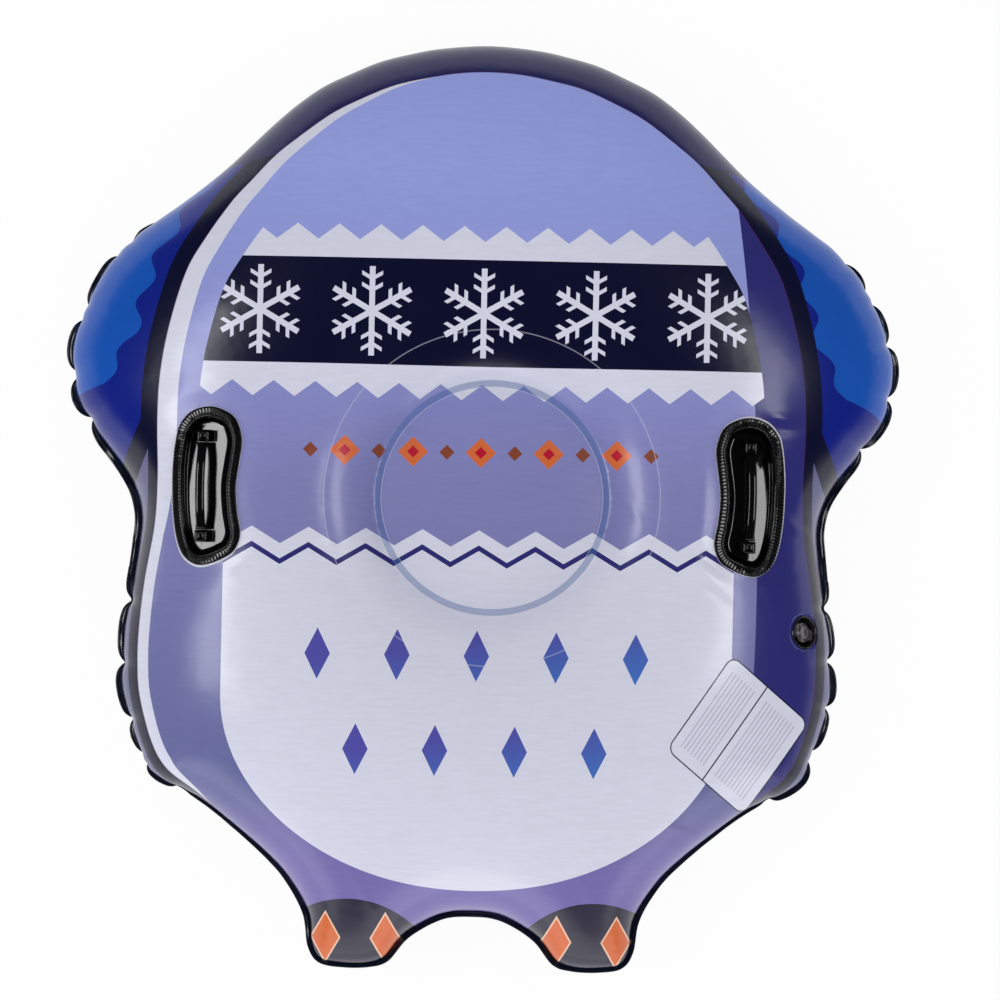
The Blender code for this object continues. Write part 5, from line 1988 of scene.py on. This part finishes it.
@dataclass
class Valve:
    """The recessed inflation valve: base, stem, check flap, plug and strap.

    Radii are measured from the valve's axis and heights along it, from where it meets the sheet.
    """

    place: Place
    flange_radius: float = 0.0225
    hole_radius: float = 0.0180
    lip_radius: float = 0.0172
    flange_thickness: float = 0.0010
    lip_rise: float = 0.0006
    cup_depth: float = 0.0125
    cup_taper: float = 0.0010
    wall: float = 0.0012
    edge: float = 0.0003
    bead_rise: float = 0.0010
    stem_radius: float = 0.0085
    clearance: float = 0.0004
    bore_radius: float = 0.0066
    collar_radius: float = 0.0104
    collar_thickness: float = 0.0012
    top_drop: float = 0.0045
    stem_length: float = 0.0290
    flap_radius: float = 0.0076
    flap_thickness: float = 0.0008
    cap_radius: float = 0.0104
    cap_thickness: float = 0.0014
    boss_radius: float = 0.0072
    boss_height: float = 0.0012
    plug_top_radius: float = 0.0062
    plug_tip_radius: float = 0.0049
    plug_depth: float = 0.0035
    wing_width: float = 0.0130
    tab_reach: float = 0.0148
    tab_tip: float = 0.0048
    tab_rise: float = 0.0010
    strap_thickness: float = 0.0010
    strap_root_reach: float = 0.0128
    root_width: float = 0.0100
    root_reach: float = 0.01375
    root_start: float = -0.0098
    root_top: float = 0.0005
    strap_bend: float = 0.0010
    strap_end: float = 0.0011
    bend_steps: int = 8
    band_stops: tuple[float, ...] = (-1.0, -0.94, 0.94, 1.0)
    gap: float = 0.0003
    count: int = 96

    def openings(self, sheet: Sheet) -> dict[str, np.ndarray]:
        """Give the valve's circles as the sheet carries them.

        Args:
            sheet: the sheet that the valve sits in.

        Returns:
            The edge of the opening and the edge of the inner flange, seen from above, by name.
        """
        rings = {}
        for name, radius in (("valve_hole", self.hole_radius), ("valve_flange", self.flange_radius)):
            found, _ = sheet.cast(self.ring(radius, self.flange_radius), -self.place.w)
            rings[name] = found[:, :2]
        return rings

    def ring(self, radius: float, height: float) -> np.ndarray:
        """Give a circle round the valve's axis."""
        flat = circle(np.zeros(2), radius, self.count)
        return self.place.world(np.column_stack([flat, np.full(self.count, height)]))

    def turned(self, profile: tuple, endless: bool) -> tuple[np.ndarray, list]:
        """Turn (radius, height) pairs into a lathe form."""
        return loft([self.ring(radius, height) for radius, height in profile], endless, capped=not endless)

    def lifted(self, sheets: Sheets, radius: float, height: float) -> np.ndarray:
        """Give a circle that lies on the sheet, moved along the sheet's normals."""
        found, normals = sheets.top.cast(self.ring(radius, self.flange_radius), -self.place.w)
        return found + normals * height

    def build(self, sheets: Sheets) -> None:
        """Build the pieces of the valve.

        Args:
            sheets: the sheets that it sits in.
        """
        finish = VALVE_VINYL.material()
        self.build_base(sheets, finish)
        self.build_stem(finish)
        clear = PLUG_VINYL.material()
        self.build_plug(clear)
        self.build_strap(clear)
        self.build_strap_root(clear)
        LOG.info("valve: base, stem, flap, plug, strap and the strap's root")

    def build_base(self, sheets: Sheets, finish: bpy.types.Material) -> None:
        """Build the inner flange and the recess.

        Args:
            sheets: the sheets that the valve sits in.
            finish: the material.
        """
        start = -(sheets.thickness + self.gap)
        end = start - self.flange_thickness
        floor = -self.cup_depth
        mouth = self.lip_radius - self.wall
        foot = mouth - self.cup_taper
        throat = self.stem_radius + self.clearance
        rings = [
            # The flange under the sheet and the lip through its opening
            self.lifted(sheets, self.flange_radius, start),
            self.lifted(sheets, self.hole_radius, start),
            self.lifted(sheets, self.lip_radius, start),
            self.lifted(sheets, self.lip_radius, self.lip_rise * 0.6),
            self.lifted(sheets, self.lip_radius - self.edge, self.lip_rise),
            self.lifted(sheets, mouth + self.edge, self.lip_rise),
            self.lifted(sheets, mouth, self.lip_rise * 0.5),
            # The leaning wall of the recess, rounded into its floor
            self.ring(foot + 0.0006, floor * 0.55),
            self.ring(foot, floor + 0.0015),
            self.ring(foot - 0.0006, floor + 0.0004),
            self.ring(foot - 0.0018, floor),
            # The raised bead round the throat
            self.ring(throat + 0.0022, floor),
            self.ring(throat + 0.0016, floor + self.bead_rise),
            self.ring(throat + 0.0008, floor + self.bead_rise),
            self.ring(throat, floor),
            # The outside, back to the flange
            self.ring(throat, floor - self.wall),
            self.ring(foot + self.wall, floor - self.wall),
            self.lifted(sheets, self.hole_radius, end),
            self.lifted(sheets, self.flange_radius, end),
        ]
        points, faces = loft(rings, True)
        attach(make_piece("recess", points, faces, finish), "sled", "valve_base")

    def build_stem(self, finish: bpy.types.Material) -> None:
        """Build the tube with its collar, and the check flap under it.

        Args:
            finish: the material.
        """
        top, foot = -self.top_drop, -self.top_drop - self.stem_length
        collar = top - self.collar_thickness
        stem = (
            (self.bore_radius, top),
            (self.bore_radius + 0.0006, top + 0.0001),
            (self.collar_radius - self.edge, top),
            (self.collar_radius, top - self.edge),
            (self.collar_radius, collar),
            (self.stem_radius, collar),
            (self.stem_radius, foot),
            (self.bore_radius, foot),
        )
        attach(make_piece("stem", *self.turned(stem, True), finish), "stem", "valve_stem")
        seat = foot - self.gap
        under = seat - self.flap_thickness
        flap = (
            (0.0002, under),
            (self.flap_radius - 0.0002, under),
            (self.flap_radius, seat - self.flap_thickness / 2),
            (self.flap_radius - 0.0002, seat),
            (0.0002, seat),
        )
        attach(make_piece("flap", *self.turned(flap, False), finish), "flap", "valve_flap")

    def build_plug(self, finish: bpy.types.Material) -> None:
        """Build the plug with its cap, its boss and its pull tab.

        Args:
            finish: the material.
        """
        seat = -self.top_drop + self.gap
        cap_top = seat + self.cap_thickness
        turn = np.arange(self.count) / self.count * math.tau
        signed = (turn + math.pi) % math.tau - math.pi
        flat = self.cap_radius * np.column_stack([np.cos(turn), np.sin(turn)])
        span = math.asin(self.wing_width / 2 / self.cap_radius)
        on_tab = np.abs(signed) < span
        flat[on_tab, 0] = self.tab_reach
        flat[on_tab, 1] = signed[on_tab] / span * self.tab_tip

        def layer(share: float, height: float) -> np.ndarray:
            """Place the cap's outline, with its raised pull tab on one side, at a height."""
            return self.place.world(np.column_stack([flat * share, height + self.tab_rise * on_tab]))

        rings = [
            self.ring(self.plug_tip_radius, seat - self.plug_depth),
            self.ring(self.plug_top_radius, seat),
            layer(0.96, seat),
            layer(1.0, seat + 0.0004),
            layer(1.0, cap_top - 0.0004),
            layer(0.965, cap_top),
            self.ring(self.boss_radius, cap_top),
            self.ring(self.boss_radius - 0.0002, cap_top + self.boss_height * 0.7),
            self.ring(self.boss_radius - 0.0008, cap_top + self.boss_height),
            self.ring(self.boss_radius - 0.0022, cap_top + self.boss_height),
            self.ring(self.boss_radius - 0.0028, cap_top + self.boss_height * 0.6),
            self.ring(0.0004, cap_top + self.boss_height * 0.5),
        ]
        points, faces = loft(rings, False, capped=True)
        attach(make_piece("plug_cap", points, faces, finish), "plug", "valve_plug")

    def build_strap(self, finish: bpy.types.Material) -> None:
        """Build the strap, which runs outwards from the cap and bends up at its end.

        Args:
            finish: the material.
        """
        middle = -self.top_drop + self.gap + self.cap_thickness - self.strap_thickness / 2
        corner = -self.strap_root_reach
        path = [(-(self.cap_radius + self.gap), middle)]
        for number in range(self.bend_steps + 1):
            turn = number / self.bend_steps * math.pi / 2
            out = corner + self.strap_bend * (1.0 - math.sin(turn))
            path.append((out, middle + self.strap_bend * (1.0 - math.cos(turn))))
        path.append((corner, max(self.root_top, middle + self.strap_end)))
        attach(make_piece("strap", *self.band(path, self.wing_width / 2), finish), "plug", "valve_strap")

    def build_strap_root(self, finish: bpy.types.Material) -> None:
        """Build the short band on the stem's collar that the strap starts from.

        Args:
            finish: the material.
        """
        start, out = -self.top_drop - self.collar_thickness / 2, -self.root_reach
        path = (
            (self.root_start, start),
            (out + 0.0010, start),
            (out + 0.0003, start + 0.0003),
            (out, start + 0.0010),
            (out, self.root_top),
        )
        attach(make_piece("strap_root", *self.band(path, self.root_width / 2), finish), "stem", "valve_stem")

    def band(self, path: tuple | list, half_width: float) -> tuple[np.ndarray, list]:
        """Sweep a flat band along a path in the valve's frame.

        Args:
            path: pairs of a place across the valve and a height.
            half_width: half of the band's width.

        Returns:
            Points and faces.
        """
        steps = np.gradient(np.array(path), axis=0)
        steps /= np.linalg.norm(steps, axis=1)[:, None]
        lower = [(stop, -1.0) for stop in self.band_stops]
        upper = [(stop, 1.0) for stop in reversed(self.band_stops)]
        side, face = np.array(lower + upper).T * np.array([[half_width], [self.strap_thickness / 2]])
        rings = []
        for (u, w), (du, dw) in zip(path, steps):
            offset = np.column_stack([face * -dw, side, face * du])
            rings.append(self.place.world(np.array([u, 0.0, w]) + offset))
        return loft(rings, False, capped=True)


@dataclass(frozen=True)
class Softbox:
    """One rectangular studio light, aimed at the sled."""

    name: str
    place: tuple[float, float, float]
    size: tuple[float, float]
    power: float

    def build(self, target: Vector) -> None:
        """Add the light.

        Args:
            target: the place that it is aimed at.
        """
        lamp = bpy.data.lights.new(self.name, "AREA")
        lamp.shape = "RECTANGLE"
        lamp.size, lamp.size_y = self.size
        lamp.energy = self.power
        item = bpy.data.objects.new(self.name, lamp)
        item.location = self.place
        item.rotation_euler = (target - Vector(self.place)).to_track_quat("-Z", "Y").to_euler()
        bpy.context.scene.collection.objects.link(item)


@dataclass(frozen=True)
class Studio:
    """White table, softboxes and the camera that looks straight down."""

    view_width: float = 1.0657
    view_height: float = 0.12
    camera_place: tuple[float, float] = (0.0213, 0.0106)
    camera_height: float = 8.0
    camera_roll_deg: float = 1.25
    camera_reach: float = 50.0
    sensor_mm: float = 36.0
    aim: tuple[float, float, float] = (0.0, 0.0, 0.1)
    boxes: tuple = (
        Softbox("left_softbox", (-1.37, 0.17, 1.94), (0.66, 0.36), 5.4),
        Softbox("left_low_softbox", (-1.68, -0.45, 1.94), (0.62, 0.58), 7.0),
        Softbox("right_softbox", (1.20, 0.00, 1.83), (0.80, 0.40), 5.6),
        Softbox("front_softbox", (0.00, -2.05, 0.45), (4.00, 0.80), 14.0),
    )
    table_side: float = 12.0
    table_drop: float = 0.0005
    table_cloud: float = 0.200
    table_glow: float = 0.88
    table_glow_share: float = 0.96
    mirror_top: float = 0.10
    mirror_levels: tuple[float, float] = (0.40, 0.015)
    room_levels: tuple[float, float] = (0.84, 0.44)

    def build(self) -> None:
        """Build the table, the lights, the world and the camera."""
        self.build_table()
        for box in self.boxes:
            box.build(Vector(self.aim))
        self.build_world()
        self.build_camera()
        bpy.context.scene.view_settings.view_transform = "Standard"
        LOG.info("studio: %d softboxes", len(self.boxes))

    def build_table(self) -> None:
        """Lay a white table that shows white to the camera and keeps a little of the shadow."""
        material = bpy.data.materials.new("white_table")
        tree = cleared_tree(material)
        cloud = add_node(tree, "ShaderNodeTexNoise", {"Scale": self.table_side / self.table_cloud})
        whites = {0: cloud.outputs["Fac"], 6: linear("#f6f6f7"), 7: linear("#fafafa")}
        tone = add_node(tree, "ShaderNodeMix", whites, data_type="RGBA")
        paper = add_node(tree, "ShaderNodeBsdfDiffuse", {"Color": tone.outputs[2]})
        path = add_node(tree, "ShaderNodeLightPath", {})
        rays = ("Is Camera Ray", "Is Glossy Ray", "Is Transmission Ray")
        values = {name: path.outputs[name] for name in rays}
        steps = (
            ("level", "*+", rays[0], 1.0 - self.table_glow, self.table_glow),
            ("share", "*", ("max", *rays), self.table_glow_share),
        )
        run_steps(tree, values, steps)
        glow = {"Color": linear("#ffffff"), "Strength": values["level"]}
        white = add_node(tree, "ShaderNodeEmission", glow)
        sides = {0: values["share"], 1: paper.outputs[0], 2: white.outputs[0]}
        mix = add_node(tree, "ShaderNodeMixShader", sides)
        add_node(tree, "ShaderNodeOutputMaterial", {"Surface": mix.outputs[0]})
        mesh = bpy.data.meshes.new("table")
        half = self.table_side / 2
        corners = [(-half, -half, 0.0), (half, -half, 0.0), (half, half, 0.0), (-half, half, 0.0)]
        mesh.from_pydata(corners, [], [(0, 1, 2, 3)])
        mesh.materials.append(material)
        floor = bpy.data.objects.new("table", mesh)
        floor.location.z = -self.table_drop
        bpy.context.scene.collection.objects.link(floor)

    def build_world(self) -> None:
        """Light the room evenly and show it white to the camera."""
        world = bpy.data.worlds.new("studio")
        bpy.context.scene.world = world
        tree = cleared_tree(world)
        path = add_node(tree, "ShaderNodeLightPath", {})
        place = add_node(tree, "ShaderNodeTexCoord", {}).outputs["Generated"]
        height = add_node(tree, "ShaderNodeSeparateXYZ", {0: place}).outputs[2]
        levels = []
        for top, (low, high) in ((1.0, self.room_levels), (self.mirror_top, self.mirror_levels)):
            ends = {0: height, 1: 0.0, 2: top, 3: low, 4: high}
            levels.append(add_node(tree, "ShaderNodeMapRange", ends).outputs[0])
        choice = {0: path.outputs["Is Glossy Ray"], 2: levels[0], 3: levels[1]}
        level = add_node(tree, "ShaderNodeMix", choice, data_type="FLOAT")
        white = linear("#ffffff")
        room = add_node(tree, "ShaderNodeBackground", {"Color": white, "Strength": level.outputs[0]})
        seen = add_node(tree, "ShaderNodeBackground", {"Color": white, "Strength": 1.0})
        sides = {0: path.outputs["Is Camera Ray"], 1: room.outputs[0], 2: seen.outputs[0]}
        mix = add_node(tree, "ShaderNodeMixShader", sides)
        add_node(tree, "ShaderNodeOutputWorld", {"Surface": mix.outputs[0]})

    def build_camera(self) -> None:
        """Set up the camera over the sled, for the width that it sees at the handles' height."""
        camera = bpy.data.cameras.new("camera")
        camera.sensor_width = self.sensor_mm
        camera.lens = self.sensor_mm * (self.camera_height - self.view_height) / self.view_width
        camera.clip_end = self.camera_reach
        item = bpy.data.objects.new("camera", camera)
        item.location = (*self.camera_place, self.camera_height)
        item.rotation_euler = (0.0, 0.0, math.radians(self.camera_roll_deg))
        bpy.context.scene.collection.objects.link(item)
        bpy.context.scene.camera = item


def valve_place() -> Place:
    """Give the valve's frame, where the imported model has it.

    Returns:
        The frame, with w along the valve's axis.
    """
    return Place(
        np.array([0.3483, -0.1230, 0.14677641]),
        np.array([0.66054932, -0.24995929, -0.70795123]),
        np.array([0.10363449, 0.9642808, -0.24376716]),
        np.array([0.74359565, 0.08765207, 0.66285943]),
    )


def main() -> None:
    """Build the sled, piece by piece, and the studio round it."""
    logging.basicConfig(level=logging.INFO, format="%(name)s: %(message)s")
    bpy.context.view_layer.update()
    outline = Outline()
    handles = (
        Handle(
            name="left",
            side=-1.0,
            backing_shift=(-0.0006, -0.0020),
            floor_tilt=0.25,
            outer_tilt=0.0,
            grip_shift=0.0055,
            flange_tilt=0.0,
        ),
        Handle(
            name="right",
            side=1.0,
            backing_shift=(0.0008, 0.0012),
            floor_tilt=0.0,
            outer_tilt=0.25,
            grip_shift=0.0010,
            flange_tilt=0.11,
            place=(0.2848, 0.018909),
        ),
    )
    valve = Valve(valve_place())
    sheets = Sheets(outline, handles, valve)
    sheets.build()
    Baffle().build(sheets)
    WeldBand().build(outline, sheets)
    for handle in handles:
        handle.build(sheets)
    valve.build(sheets)
    Studio().build()


if __name__ == "__main__":
    main()
